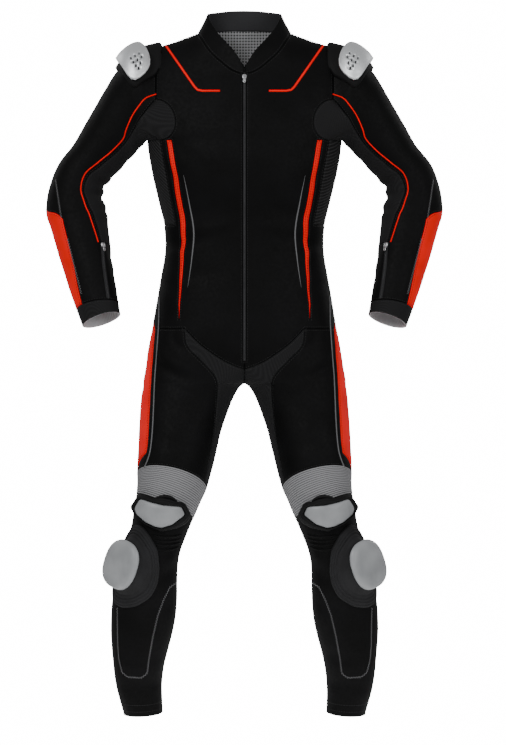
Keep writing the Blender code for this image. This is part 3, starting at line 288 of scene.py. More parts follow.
class Section:
    """A section of the trunk or leg."""

    def __init__(self, level):
        self.level = level
        self.mid, self.front, self.back, self.power, self.lean, self.tilt = (
            smooth(BODY, level, column) for column in range(2, 8)
        )
        crotch = LEVELS[CROTCH]
        half = 100.0
        for _ in range(4):
            self.out = smooth(BODY, level + self.lean * half)
            self.inner = smooth(INSEAM, level - self.lean * half) if level < crotch else 0.0
            half = (self.out - self.inner) / 2
        self.half = half
        self.centre = (self.out + self.inner) / 2
        closing = (CLOSING - level) / (CLOSING - crotch)
        self.joined = bulge(min(max(closing, 0.0), 1.0), 2.6)
        self.joined_outside = ease((level + 840) / 240)

    def depth(self, x):
        """Share of the full depth at x, where one oval over both legs turns into one a leg.

        It turns fast at the middle, where the crotch closes, and slowly at the side.
        """
        whole = bulge(x / self.out, self.power)
        leg = bulge(min(max((x - self.centre) / self.half, -1.0), 1.0), self.power)
        near = ease((self.centre - x) / self.half)
        joined = self.joined * near + self.joined_outside * (1 - near)
        return joined * whole + (1 - joined) * leg

    def point(self, x, behind):
        y = self.mid + (self.back if behind else -self.front) * self.depth(x)
        z = self.level + self.lean * (x - self.centre) + self.tilt * (y - self.mid)
        return Vector((x, y, z))

    def at(self, seam, behind=False):
        """Where a seam that is given by height crosses this section."""
        x = seam(self.level)
        for _ in range(4):
            x = seam(self.point(min(max(x, self.inner), self.out), behind).z)
        return x

    def between(self, low, high, part):
        """An x that lies part of the way round the section from low to high."""
        joint = ease((self.level + 675) / 115)

        def whole(x):
            return math.asin(min(max(x / self.out, 0), 1) ** (self.power / 2))

        def leg(x):
            u = min(max((x - self.centre) / self.half, -1), 1)
            return math.copysign(math.asin(abs(u) ** (self.power / 2)), u)

        angle = whole(low) + (whole(high) - whole(low)) * part
        as_whole = self.out * max(math.sin(angle), 0) ** (2 / self.power)
        angle = leg(low) + (leg(high) - leg(low)) * part
        u = math.copysign(abs(math.sin(angle)) ** (2 / self.power), angle)
        return joint * as_whole + (1 - joint) * (self.centre + self.half * u)


def level_of(row):
    base = min(int(row), HEM - 1)
    return LEVELS[base] + (LEVELS[base + 1] - LEVELS[base]) * (row - base)


# The paths of (row, column) that the gusset's seams take.
WING_TOP_PATH = ((HIP, 5), (WING_END, 0))
WING_LOW_PATH = ((HIP, 5), (18, 5), (19, 4), (21, 4), (22, 3), (24, 3), (25, 2), (KNEE_TOP, 2))
GUSSET_BACK_PATH = ((WING_END, 16), (23, 14), (KNEE_TOP, 14))


def knots(section, row):
    """The columns whose x is known on this row, front and back, as (column, x)."""
    front = [(0, section.inner)]
    back = [(SIDE, section.out)]
    if row <= TAPE_END:
        front.append((1, TAPE_HALF))
    if row <= STRIPE_END:
        front.append((5, section.at(lambda z: straight(STRIPE_IN, z))))
        front.append((6, section.at(lambda z: straight(STRIPE_OUT, z))))
    if row <= HIP:
        front.append((7, section.at(lambda z: straight(FLANK, z))))
    if HIP <= row <= WING_END:
        front.append((straight(WING_TOP_PATH, row), section.at(lambda z: straight(GUSSET_TOP, z))))
    if HIP < row <= KNEE_TOP:
        front.append((straight(WING_LOW_PATH, row), section.at(lambda z: smooth(GUSSET_LOW, z))))
    if STRIPE_END < row <= KNEE_TOP:
        x = min(section.at(lambda z: smooth(THIGH_FRONT, z)), section.out - 0.4)
        front.append((8, x))
        back.append((10, x))
    if row <= RIBS_END:
        back.append((10, section.at(lambda z: straight(FLANK, z), True)))
    if WING_END < row <= KNEE_TOP:
        x = section.at(lambda z: smooth(GUSSET_LOW, z), True)
        column = straight(GUSSET_BACK_PATH, row)
        if column < LAST:
            share = (LAST - column) / 2
            back.append((column, section.inner + (x - section.inner) * share))
    if row >= KNEE_LOW + 1:
        gap = straight(CALF_ZIP, section.level)
        back += [(12, section.centre + gap), (13, section.centre - gap)]
    front.append((SIDE, section.out))
    back.append((LAST, section.inner))
    return sorted(front), sorted(back)


@lru_cache(maxsize=None)
def section_at(level):
    return Section(level)


@lru_cache(maxsize=None)
def fixed_columns(row):
    return knots(section_at(LEVELS[row]), row)


@lru_cache(maxsize=None)
def share_across(row, column):
    """How far across its section a column lies on a whole row, from 0 at its inner end to 1."""
    section = section_at(LEVELS[row])
    steps = fixed_columns(row)[0 if column <= SIDE else 1]
    x = steps[-1][1]
    for (first, x0), (second, x1) in zip(steps, steps[1:]):
        if first <= column <= second and second > first:
            x = section.between(x0, x1, (column - first) / (second - first))
            break
    return (x - section.inner) / (section.out - section.inner)


def between_rows(section, row, column):
    """The x of a column, in a straight line from one whole row to the next."""
    base = min(int(row), HEM - 1)
    low, high = share_across(base, column), share_across(base + 1, column)
    share = low + (high - low) * (row - base)
    return section.inner + (section.out - section.inner) * share


@lru_cache(maxsize=None)
def seam_shifts(row, behind):
    """How far to move a row's columns so that curved and slanting seams run smoothly."""
    section = section_at(level_of(row))
    wanted = []
    if HIP < row < KNEE_TOP:
        low = section.at(lambda z: smooth(GUSSET_LOW, z), behind)
        x = min(section.at(lambda z: smooth(THIGH_FRONT, z)), section.out - 0.4)
        if behind:
            wanted.append((10, x))
            if row > WING_END:
                column = straight(GUSSET_BACK_PATH, row)
                share = (LAST - column) / 2
                wanted.append((column, section.inner + (low - section.inner) * share))
        else:
            wanted.append((8, x))
            wanted.append((straight(WING_LOW_PATH, row), low))
            if row < WING_END:
                top = section.at(lambda z: smooth(GUSSET_TOP, z))
                wanted.append((straight(WING_TOP_PATH, row), top))
    shifts = {column: x - between_rows(section, row, column) for column, x in wanted}
    ends = (SIDE, LAST) if behind else (0, SIDE)
    for column in list(shifts):
        for rest in (column - 1.3, column + 1.3):
            rest = min(max(rest, ends[0]), ends[1])
            if all(abs(rest - other) > 0.6 for other in shifts):
                shifts[rest] = 0.0
    shifts.update({end: 0.0 for end in ends})
    return sorted(shifts.items())


def across(section, row, column):
    """The x of a column on a row or between two."""
    x = between_rows(section, row, column)
    if row == int(row):
        return x
    return x + straight(seam_shifts(row, column > SIDE), column)


def armhole(level):
    """Front edge of the armhole, with the round end of the stretch panel let into the chest."""
    below = max(0.0, LEVELS[4] - level) / (LEVELS[4] - LEVELS[ARMPIT])
    round_end = bulge(min(abs(level + 180) / 42, 1.0), 2)
    return TOP_FRONT[-1] - 8 * below - 36 * round_end


def over_neck(x):
    """Height that the shoulder line would have at x, rising to a dome over the neck."""
    if x >= SHOULDER[0][0]:
        return straight(SHOULDER, x)
    return DOME * (1 - (x / SHOULDER[0][0]) ** 2)


def yoke_point(x, z, behind):
    """A point on the chest, shoulder or upper back."""
    half, front, back = (smooth(YOKE, z, column) for column in (1, 2, 3))
    drop = min(max(over_neck(x) - z, 0.0) / SHOULDER_ROUND, 1.0)
    turn = math.sqrt(max(0.0, 1 - (1 - drop) ** 2))
    share = turn * bulge(x / half, 2.4)
    return Vector((x, (back if behind else -front) * share, z))


def trunk_point(row, column):
    """A point of the trunk and leg by row and column."""
    if row >= ARMPIT:
        section = section_at(level_of(row))
        return section.point(across(section, row, column), column > SIDE)
    armpit = section_at(LEVELS[ARMPIT])
    down = (level_of(row) - LEVELS[0]) / (LEVELS[ARMPIT] - LEVELS[0])
    low = across(armpit, ARMPIT, column)
    behind = column > SIDE
    tops, index = (TOP_BACK, column - 10) if behind else (TOP_FRONT, column)
    first = min(int(index), len(tops) - 2)
    high = tops[first] + (tops[first + 1] - tops[first]) * (index - first)
    x = high + (low - high) * down
    neck = NECK_BACK if behind else NECK_FRONT
    top = straight(SHOULDER, high) if high >= SHOULDER[0][0] else smooth(neck, high)
    if not behind:
        plain = TOP_FRONT[-1] + (FLANK[0][1] - TOP_FRONT[-1]) * down
        x *= 1 + (armhole(level_of(row)) / plain - 1) * max(index - 1, 0) / 6
    return yoke_point(x, top + (LEVELS[ARMPIT] - top) * down, behind)


# Near the armhole: angle of the sleeve's front and back lower corners, and its squareness.
ARMHOLE_CORNERS = ((1, -44, -136, 2.6), (2, -50, -130, 2.45), (3, -58, -121, 2.25))


def angles_of(ring):
    """The angle of each column that is fixed on a sleeve section; 90 is outside, 0 the front."""
    panel, outside = (
        math.degrees(math.asin(2 * SLEEVE[ring - 1][column] - 1)) for column in (8, 10)
    )
    front = [(0, 90.0), (PANEL_AT, panel)]
    if ring > RED_TIP:
        front.append((min(ring - RED_TIP, 2), outside))
    back = [(SLEEVE_COLUMNS - column, -180 - angle) for column, angle in front]
    corners = [(ARMPIT, low) for at, low, _, _ in ARMHOLE_CORNERS if at == ring]
    corners += [(10, high) for at, _, high, _ in ARMHOLE_CORNERS if at == ring]
    return sorted(front + corners + [(UNDER_AT, -90.0)] + back)


def ring_frame(ring):
    """Middle of a sleeve section, its way out, and its way to the front."""
    outer_x, outer_z, inner_x, inner_z, y, _, _, tilt = SLEEVE[ring - 1][:8]
    middle = Vector(((outer_x + inner_x) / 2, y, (outer_z + inner_z) / 2))
    out = Vector(((outer_x - inner_x) / 2, 0, (outer_z - inner_z) / 2))
    slope = math.radians(tilt)
    return middle, out, Vector((0, -math.cos(slope), math.sin(slope)))


def ring_point(ring, angle):
    middle, out, forward = ring_frame(ring)
    side, front = math.sin(math.radians(angle)), math.cos(math.radians(angle))
    power = next((squared for at, _, _, squared in ARMHOLE_CORNERS if at == ring), 2.0)
    side = math.copysign(abs(side) ** (2 / power), side)
    depth = SLEEVE[ring - 1][5 if front > 0 else 6] * math.copysign(abs(front) ** (2 / power), front)
    return middle + out * side + forward * depth


@lru_cache(maxsize=None)
def sleeve_ring(ring, column):
    """A point of a sleeve section; ring 0 is the armhole, and rings below 0 lie inside it."""
    if ring > 0:
        fixed = angles_of(ring)
        for (first, low), (second, high) in zip(fixed, fixed[1:]):
            if first <= column <= second:
                part = (column - first) / (second - first)
                return ring_point(ring, low + (high - low) * part)
    if column <= ARMPIT:
        return trunk_point(column, ARMPIT + ring)
    if column <= 10:
        return trunk_point(ARMPIT - ring, column)
    return trunk_point(SLEEVE_COLUMNS - column, 10 - ring)


def follow(points, t):
    """A point between the middle two of four, on a smooth curve through all."""
    a, b, c, d = points
    return (
        b * 2 + (c - a) * t + (a * 2 - b * 5 + c * 4 - d) * t**2 + (b * 3 - a - c * 3 + d) * t**3
    ) / 2


def sleeve_point(ring, column):
    """A point of the sleeve by ring and column."""
    base = min(math.floor(ring), CUFF_END - 1)
    column %= SLEEVE_COLUMNS
    if ring == base:
        return sleeve_ring(base, column)
    four = [sleeve_ring(min(base + step, CUFF_END), column) for step in (-1, 0, 1, 2)]
    return follow(four, ring - base)


def collar_point(height, column):
    """A point of the collar: height 0 is the neck seam and 1 the top edge."""
    base = trunk_point(0, column if column <= NECK_POINT else column + COLLAR_SHIFT)
    first = min(int(column), len(COLLAR_TOP) - 2)
    picked = [
        Vector(COLLAR_TOP[min(max(first + step, 0), len(COLLAR_TOP) - 1)])
        for step in (-1, 0, 1, 2)
    ]
    return base.lerp(follow(picked, column - first), height)


# Seams as paths of (row, column) over the grids.
TRUNK_SEAMS = (
    [(row, 1) for row in range(TAPE_END + 1)] + [(TAPE_END, 0)],
    [(row, 5) for row in range(ARMPIT, STRIPE_END + 1)],
    [(ARMPIT, 5)] + [(row, 6) for row in range(ARMPIT, STRIPE_END)] + [(STRIPE_END, 5)],
    [(row, 7) for row in range(ARMPIT, RIBS_END + 1)]
    + [(RIBS_END, column) for column in (8, 9, 10)]
    + [(row, 10) for row in range(RIBS_END - 1, ARMPIT - 1, -1)],
    [(row, SIDE) for row in range(RIBS_END, STRIPE_END + 1)],
    [(HIP, 5), (17, 4), (18, 3), (19, 2), (20, 1), (WING_END, 0)],
    [(HIP, 5), (17, 5), (18, 5), (19, 4), (20, 4), (21, 4), (22, 3), (23, 3), (24, 3), (25, 2)]
    + [(row, 2) for row in range(26, KNEE_TOP + 1)],
    [(HIP, column) for column in (5, 6, 7, 8)],
    [(HIP, column) for column in range(10, LAST + 1)],
    [(STRIPE_END, SIDE)] + [(row, 8) for row in range(HIP, KNEE_TOP)] + [(KNEE_TOP, SIDE)],
    [(STRIPE_END, SIDE)] + [(row, 10) for row in range(HIP, KNEE_TOP)] + [(KNEE_TOP, SIDE)],
    [(KNEE_TOP, column) for column in range(11)] + [(32, 10), (KNEE_LOW, 10)],
    [(row, 0) for row in (KNEE_TOP, 32, KNEE_LOW)],
    [(KNEE_LOW, column) for column in range(LAST + 1)],
    [(WING_END, 16), (22, 15)] + [(row, 14) for row in range(23, KNEE_TOP + 1)],
    [(KNEE_TOP, 14), (KNEE_TOP, 15), (KNEE_TOP, 16)],
    [(row, 12) for row in range(HEM, ZIP_TOP - 1, -1)]
    + [(row, 13) for row in range(ZIP_TOP, HEM + 1)],
    [(0, column) for column in range(ARMPIT + 1)],
    [(0, column) for column in range(10, LAST + 1)],
)
SLEEVE_SEAMS = (
    [(0, column) for column in range(SLEEVE_COLUMNS + 1)],
    [(ring, PANEL_AT) for ring in range(STRETCH_END + 1)]
    + [(STRETCH_END, column) for column in range(PANEL_AT + 1, PANEL_BACK_AT + 1)]
    + [(ring, PANEL_BACK_AT) for ring in range(STRETCH_END - 1, -1, -1)],
    [(RED_TIP, 0), (9, 1)] + [(ring, 2) for ring in range(RED_FULL, CUFF_TOP + 1)],
    [(RED_TIP, 17), (9, 16)] + [(ring, 15) for ring in range(RED_FULL, CUFF_TOP + 1)],
    [(CUFF_TOP, column) for column in range(SLEEVE_COLUMNS + 1)],
)


# One cell of each panel, which names the panel. On the suit's middle it runs over both sides.
PANELS = {
    # name: (grid, row, column, is it over the middle)
    "zip_tape": ("trunk", 2, 0, True),
    "front": ("trunk", 9, 3, False),
    "side_stripe": ("trunk", 9, 5, False),
    "side_ribs": ("trunk", 9, 8, False),
    "back": ("trunk", 9, 13, True),
    "crotch_gusset": ("trunk", 26, 0, True),
    "leg_front": ("trunk", 26, 5, False),
    "thigh_panel": ("trunk", 26, 8, False),
    "leg_back": ("trunk", 26, 12, False),
    "knee_ribs": ("trunk", 32, 5, False),
    "lower_leg": ("trunk", 35, 5, False),
    "calf_zip": ("trunk", 38, 12, False),
    "sleeve": ("sleeve", 5, 1, False),
    "sleeve_stretch": ("sleeve", 5, 8, False),
    "forearm_panel": ("sleeve", 11, 1, False),
    "cuff": ("sleeve", 13, 5, False),
    "collar": ("collar", 0, 5, "behind"),
}
# Thickness of the panels that aren't leather.
WALLS = {
    "zip_tape": TAPE, "calf_zip": TAPE, "collar": COLLAR_WALL, "side_ribs": RIBBED,
    "sleeve_stretch": STRETCH, "crotch_gusset": STRETCH,
}  # fmt: skip

# How each coarse cell is cut up: closely beside the seams, which run along its edges.
STEPS = (0, 0.07, 0.22, 0.41, 0.59, 0.78, 0.93)
FINE = len(STEPS)


def real(index):
    """The row or column, counted in whole cells, of a fine one."""
    return index // FINE + STEPS[index % FINE]


def trunk_key(row, column):
    """Grid points that are one point in space share a key."""
    if row >= CROTCH * FINE and column == LAST * FINE:
        column = 0
    if row == 0 and 10 * FINE <= column <= 12 * FINE:
        column = 17 * FINE - column
    return ("trunk", row, column)


def sleeve_key(ring, column):
    if ring > 0:
        return ("sleeve", ring, column % (SLEEVE_COLUMNS * FINE))
    if column <= ARMPIT * FINE:
        return trunk_key(column, ARMPIT * FINE)
    if column <= 10 * FINE:
        return trunk_key(ARMPIT * FINE, column)
    return trunk_key(SLEEVE_COLUMNS * FINE - column, 10 * FINE)


def collar_key(height, column):
    if height == 0:
        shift = 0 if column <= NECK_POINT * FINE else COLLAR_SHIFT * FINE
        return trunk_key(0, column + shift)
    return ("collar", height, column)


GRIDS = {
    # name: (point, key, rows, columns, seams)
    "trunk": (trunk_point, trunk_key, HEM, LAST, TRUNK_SEAMS),
    "sleeve": (sleeve_point, sleeve_key, CUFF_END, SLEEVE_COLUMNS, SLEEVE_SEAMS),
    "collar": (lambda row, column: collar_point(row / 2, column), collar_key, 2, 9, ()),
}

# Creases: soft troughs and ridges, drawn from one grid point to another. bow bends one sideways,
# width is half its breadth, and left and right its height on each side; troughs are below zero.
CREASES = {
    # (row, column, to row, to column, bow, width, left, right)
    "trunk": (
        (10.2, 2.0, 10.9, 6.4, 0.3, 13, -2.2, -1.5), (10.9, 1.2, 11.3, 4.6, -0.2, 11, 1.4, 1.9),
        (11.5, 2.4, 11.8, 8.6, 0.2, 12, -2.6, -2.9), (12.2, 3.2, 12.0, 7.9, 0.2, 12, 1.6, 1.1),
        (12.7, 1.6, 12.9, 5.4, 0.1, 15, -1.8, -2.4), (13.5, 4.2, 13.1, 8.8, 0.0, 13, -1.9, -1.3),
        (9.2, 4.6, 8.3, 6.8, 0.2, 12, -2.0, -2.6), (8.4, 2.6, 7.0, 6.2, -0.3, 14, -1.7, -1.2),
        (5.8, 4.0, 6.6, 6.6, 0.3, 11, -1.8, -2.2), (4.2, 4.8, 5.4, 6.7, 0.2, 12, 1.4, 1.0),
        (15.6, 6.4, 18.6, 4.4, 0.3, 11, -2.6, -2.0), (16.8, 7.6, 20.8, 4.8, 0.4, 12, 1.6, 2.1),
        (17.9, 7.8, 23.6, 4.4, 0.4, 12, -2.8, -3.2), (21.4, 7.2, 25.4, 3.8, 0.3, 11, 1.5, 1.2),
        (23.5, 6.8, 26.2, 3.4, 0.2, 12, -2.2, -1.6), (26.4, 3.2, 27.2, 6.4, 0.2, 14, -1.3, -1.9),
        (28.4, 3.0, 27.8, 6.8, 0.2, 15, 1.2, 0.9), (29.6, 3.6, 29.0, 7.2, 0.1, 13, -1.3, -1.8),
        (24.2, 8.2, 26.4, 9.8, 0.2, 13, -1.4, -1.9), (34.3, 1.4, 34.8, 4.4, 0.3, 9, -2.0, -1.5),
        (34.9, 0.8, 35.4, 4.2, 0.3, 9, 1.3, 1.7), (35.4, 1.0, 36.0, 3.8, 0.2, 11, -2.2, -2.5),
        (36.6, 1.4, 37.2, 5.0, -0.3, 14, -1.4, -1.0), (37.8, 2.6, 37.3, 6.8, 0.3, 15, -1.5, -2.0),
        (38.6, 1.0, 38.9, 5.8, 0.3, 12, -2.1, -1.5), (39.2, 2.2, 39.0, 7.2, -0.2, 12, 1.4, 1.8),
        (39.7, 0.8, 39.9, 6.4, 0.3, 10, -2.4, -2.7), (40.3, 3.0, 40.1, 8.2, 0.2, 9, 1.2, 0.9),
        # the back
        (10.4, 10.4, 10.9, 14.8, 0.3, 13, -2.6, -2.1), (11.1, 11.6, 11.4, 15.4, -0.2, 12, 1.7, 2.2),
        (11.8, 10.2, 11.9, 15.2, 0.3, 12, -3.0, -2.3), (12.5, 11.2, 12.4, 14.4, 0.2, 12, 1.8, 1.2),
        (12.9, 10.0, 13.2, 15.3, 0.2, 14, -2.2, -2.8), (8.6, 11.4, 7.2, 13.6, 0.3, 15, -1.5, -2.1),
        (5.0, 10.6, 6.8, 12.8, 0.3, 13, -2.0, -1.5), (3.4, 10.8, 4.6, 13.4, 0.2, 14, 1.3, 1.7),
        (21.8, 11.0, 24.6, 14.6, 0.4, 13, -2.5, -3.0), (23.8, 10.6, 26.2, 13.8, 0.3, 12, 1.5, 1.1),
        (25.8, 10.8, 26.9, 14.0, 0.2, 13, -2.2, -1.7), (30.2, 11.0, 30.6, 14.2, 0.2, 10, -2.1, -2.6),
        (30.9, 10.8, 31.2, 15.2, 0.2, 8, 1.5, 1.2), (31.5, 10.6, 31.8, 15.4, 0.3, 8, -3.0, -2.5),
        (32.3, 11.2, 32.4, 15.0, 0.2, 8, 1.9, 2.3), (32.9, 10.4, 33.1, 15.6, 0.3, 8, -3.1, -3.4),
        (33.7, 11.0, 33.6, 14.8, 0.2, 9, 1.7, 1.3), (34.4, 10.6, 34.3, 15.2, 0.3, 10, -2.2, -1.8),
        (37.4, 9.4, 37.9, 11.6, 0.2, 14, -1.6, -2.1), (38.9, 9.6, 39.0, 15.4, 0.3, 11, -2.3, -1.8),
        (39.5, 10.2, 39.6, 14.6, 0.2, 10, 1.4, 1.8), (40.0, 9.8, 40.1, 15.2, 0.2, 10, -2.0, -2.4),
    ),
    "sleeve": (
        # inside of the elbow, outside of it, upper arm and forearm
        (1.6, 4.6, 2.2, 9.0, 0.3, 10, -2.4, -1.8), (2.4, 5.2, 2.9, 10.6, 0.3, 11, 1.5, 2.0),
        (3.1, 4.8, 3.6, 9.6, -0.3, 11, -2.2, -2.6), (2.0, 0.6, 2.9, 3.6, 0.3, 14, -1.6, -1.1),
        (4.6, 3.4, 4.9, 10.8, 0.3, 9, -2.2, -2.7), (5.3, 4.6, 5.5, 11.8, 0.2, 8, 1.7, 1.3),
        (5.9, 3.2, 6.0, 12.2, 0.3, 8, -3.2, -2.7), (6.6, 4.8, 6.6, 12.6, 0.2, 7, 2.0, 2.4),
        (7.3, 2.8, 7.2, 12.4, 0.3, 7, -3.3, -3.6), (8.1, 4.4, 8.0, 12.0, -0.2, 7, 1.8, 1.4),
        (8.9, 3.0, 8.8, 11.6, 0.3, 8, -2.6, -2.1), (9.4, 4.6, 9.5, 10.4, 0.2, 10, 1.3, 1.7),
        (10.1, 3.2, 10.3, 8.4, 0.3, 12, -1.8, -1.4), (5.2, 14.6, 5.9, 16.6, 0.2, 12, -1.6, -2.1),
        (7.0, 13.6, 6.6, 15.8, 0.2, 11, -1.8, -1.3), (11.2, 5.0, 11.6, 10.6, 0.3, 11, -1.7, -2.2),
        (12.1, 6.4, 12.2, 13.0, 0.2, 10, -1.6, -1.1), (11.4, 0.4, 12.0, 3.2, -0.2, 13, -1.3, -1.7),
    ),
}
CREASE_POINTS = 9
RIPPLE, RIPPLE_SIZE = 0.8, 62.0  # unevenness of the hide, and how far apart it is

SEAM_DIP = 0.9  # how far a panel's edge is drawn in at a seam
MIDDLE = 0.01  # nearer than this to X = 0 a point is on the suit's middle


class Suit:
    """The fine surface as points, panels and borders, creased on the left side and on the right."""

    def __init__(self):
        self.order = {}
        self.base = []
        self.faces = []  # (grid, row, column, corners)
        self.seams = set()
        for name, (_, key, _, _, seams) in GRIDS.items():
            self.mark_seams(key, seams)
        for name, (point, key, rows, columns, _) in GRIDS.items():
            self.fill_grid(name, point, key, rows, columns)
        self.beside = {}
        for number, face in enumerate(self.faces):
            for edge in edges_of(face[3]):
                self.beside.setdefault(edge, []).append(number)
        self.label_panels()
        self.base = np.array(self.base)
        self.rest_normals = self.find_normals(self.base)
        self.places = {1: self.creased(1), -1: self.creased(-1)}
        self.normals = {side: self.find_normals(at) for side, at in self.places.items()}
        corners = [face[3] for face in self.faces]
        self.trees = {
            side: BVHTree.FromPolygons([tuple(p) for p in at], corners)
            for side, at in self.places.items()
        }

    def mark_seams(self, key, seams):
        for path in seams:
            for (row, column), (end_row, end_column) in zip(path, path[1:]):
                steps = [
                    key(row * FINE + (end_row - row) * i, column * FINE + (end_column - column) * i)
                    for i in range(FINE + 1)
                ]
                self.seams |= {frozenset(pair) for pair in zip(steps, steps[1:])}

    def fill_grid(self, name, point, key, rows, columns):
        for row in range(rows * FINE):
            for column in range(columns * FINE):
                hole = name == "trunk" and row < ARMPIT * FINE
                if hole and 7 * FINE <= column < 10 * FINE:
                    continue
                cell = [(row, column), (row + 1, column), (row + 1, column + 1), (row, column + 1)]
                if name != "trunk":  # the columns there run the other way round
                    cell.reverse()
                keys = []
                for corner in cell:
                    k = key(*corner)
                    if k not in self.order:
                        self.order[k] = len(self.base)
                        self.base.append(tuple(point(real(corner[0]), real(corner[1]))))
                    if k not in keys:
                        keys.append(k)
                self.split(name, row, column, keys)

    def split(self, name, row, column, keys):
        """Adds a cell, as two triangles where a seam crosses it from corner to corner."""
        parts = [keys]
        if len(keys) == 4:
            if frozenset((keys[0], keys[2])) in self.seams:
                parts = [keys[:3], [keys[0], keys[2], keys[3]]]
            elif frozenset((keys[1], keys[3])) in self.seams:
                parts = [[keys[0], keys[1], keys[3]], keys[1:]]
        for corners in parts:
            if len(corners) > 2:
                self.faces.append((name, row, column, tuple(self.order[k] for k in corners)))

    def label_panels(self):
        """Finds each panel by spreading from one of its cells up to the seams."""
        stops = {frozenset(self.order[k] for k in edge) for edge in self.seams
                 if all(k in self.order for k in edge)}  # fmt: skip
        self.stops = stops
        first = {}
        for number, (grid, row, column, _) in enumerate(self.faces):
            first.setdefault((grid, row, column), number)
        self.panels = {}
        half = FINE // 2
        for name, (grid, row, column, _) in PANELS.items():
            start = first[grid, row * FINE + half, column * FINE + half]
            found, waiting = {start}, [start]
            while waiting:
                for edge in edges_of(self.faces[waiting.pop()][3]):
                    if edge in stops:
                        continue
                    for other in self.beside[edge]:
                        if other not in found:
                            found.add(other)
                            waiting.append(other)
            self.panels[name] = sorted(found)

    def find_normals(self, places):
        turns = np.zeros_like(places)
        for size in (3, 4):
            corners = np.array([f[3] for f in self.faces if len(f[3]) == size])
            at = places[corners]
            turn = np.cross(at[:, 2] - at[:, 0], at[:, 3 % size] - at[:, 1])
            if size == 3:
                turn = np.cross(at[:, 1] - at[:, 0], at[:, 2] - at[:, 0])
            for i in range(size):
                np.add.at(turns, corners[:, i], turn)
        turns[np.abs(places[:, 0]) < MIDDLE, 0] = 0
        return turns / np.linalg.norm(turns, axis=1)[:, None]

    def creased(self, side):
        """The points of one side with the creases and the hide's unevenness."""
        rise = np.zeros(len(self.base))
        listed = [(GRIDS[grid][0], *row) for grid, rows in CREASES.items() for row in rows]
        for point, row, column, end_row, end_column, bow, width, left, right in listed:
            line = []
            for i in range(CREASE_POINTS):
                t = i / (CREASE_POINTS - 1)
                at = column + (end_column - column) * t + bow * 4 * t * (1 - t)
                line.append(tuple(point(row + (end_row - row) * t, at)))
            rise += (left if side > 0 else right) * crease(self.base, np.array(line), width)
        rise += np.array([uneven(p, side) for p in self.base])
        rise *= np.clip(np.abs(self.base[:, 0]) / 25, 0, 1)
        return self.base + self.rest_normals * rise[:, None]

    def at(self, side, key):
        """A grid point and its way out, on the left side's place."""
        i = self.order[key]
        return Vector(self.places[side][i]), Vector(self.normals[side][i])

    def seen(self, side, x, z):
        """The point of the front that is seen at (x, z), and its way out."""
        hit, normal, _, _ = self.trees[side].ray_cast(Vector((x, -400, z)), Vector((0, 1, 0)))
        if hit is None:
            hit, normal, _, _ = self.trees[side].find_nearest(Vector((x, -60, z)))
        return hit, normal

    def laid(self, side, place):
        """The nearest point of the suit, and its way out."""
        hit, normal, _, _ = self.trees[side].find_nearest(place)
        return hit, normal

    def settled(self, side, place, lift):
        """A point, moved out until it clears the suit by a lift."""
        nearest, normal = self.laid(side, place)
        return place + normal * max(lift - (place - nearest).dot(normal), 0.0)


def uneven(point, side):
    """The hide's unevenness at a point."""
    offset = Vector((0, 0, 0 if side > 0 else 40))
    coarse = noise.noise(Vector(point) / RIPPLE_SIZE + offset)
    return RIPPLE * (coarse + 0.4 * noise.noise(Vector(point) / (RIPPLE_SIZE * 0.4) + offset))


def edges_of(corners):
    return [frozenset(pair) for pair in zip(corners, corners[1:] + corners[:1])]


def crease(points, line, width):
    """How much each point feels a crease, from 0 to 1: rounded across it and fading at its ends."""
    felt = np.zeros(len(points))
    low, high = line.min(0) - width * 3, line.max(0) + width * 3
    near = np.where(np.all((points > low) & (points < high), axis=1))[0]
    at = points[near]
    best = np.full(len(near), np.inf)
    along = np.zeros(len(near))
    for i, (a, b) in enumerate(zip(line, line[1:])):
        way = b - a
        t = np.clip((at - a) @ way / (way @ way), 0, 1)
        away = np.linalg.norm(at - a - t[:, None] * way, axis=1)
        closer = away < best
        best = np.where(closer, away, best)
        along = np.where(closer, (i + t) / (len(line) - 1), along)
    ends = np.sin(np.pi * np.clip(along, 0.02, 0.98)) ** 0.7
    felt[near] = np.exp(-((best / width) ** 2)) * ends
    return felt


@lru_cache(maxsize=None)
def suit_of():
    """The one surface that every piece is made on."""
    return Suit()


def linear(hex_colour):
    """An sRGB hex value as linear red, green, blue and alpha."""
    parts = [int(hex_colour[i : i + 2], 16) / 255 for i in (1, 3, 5)]
    return [c / 12.92 if c <= 0.04045 else ((c + 0.055) / 1.055) ** 2.4 for c in parts] + [1]


def shade(colour):
    """A colour property as a shader's colour."""
    return (*colour, 1)


def add(tree, kind, inputs=None, **settings):
    """A node with its settings, and its inputs set or linked by name or number."""
    node = tree.nodes.new(kind)
    for name, value in settings.items():
        setattr(node, name, value)
    for name, value in (inputs or {}).items():
        if isinstance(value, bpy.types.NodeSocket):
            tree.links.new(value, node.inputs[name])
        else:
            node.inputs[name].default_value = value
    return node


def start_material(name, roughness, metallic=0.0, specular=0.5):
    """A new material, its tree, its shader and its object coordinates."""
    made = bpy.data.materials.new(name)
    made.use_nodes = True
    tree = made.node_tree
    shader = tree.nodes["Principled BSDF"]
    shader.inputs["Roughness"].default_value = roughness
    shader.inputs["Metallic"].default_value = metallic
    if not metallic:
        shader.inputs["Specular IOR Level"].default_value = specular
    return made, tree, shader, add(tree, "ShaderNodeTexCoord").outputs["Object"]


def bumped(tree, shader, height, depth, strength=1.0):
    """Raises a height of 0 to 1 to a depth in millimetres."""
    bump = add(
        tree,
        "ShaderNodeBump",
        {"Height": height, "Strength": strength, "Distance": depth * MM},
    )
    tree.links.new(bump.outputs["Normal"], shader.inputs["Normal"])


def mixed(tree, factor, first, second):
    mix = add(tree, "ShaderNodeMix", {0: factor, 6: first, 7: second}, data_type="RGBA")
    return mix.outputs[2]


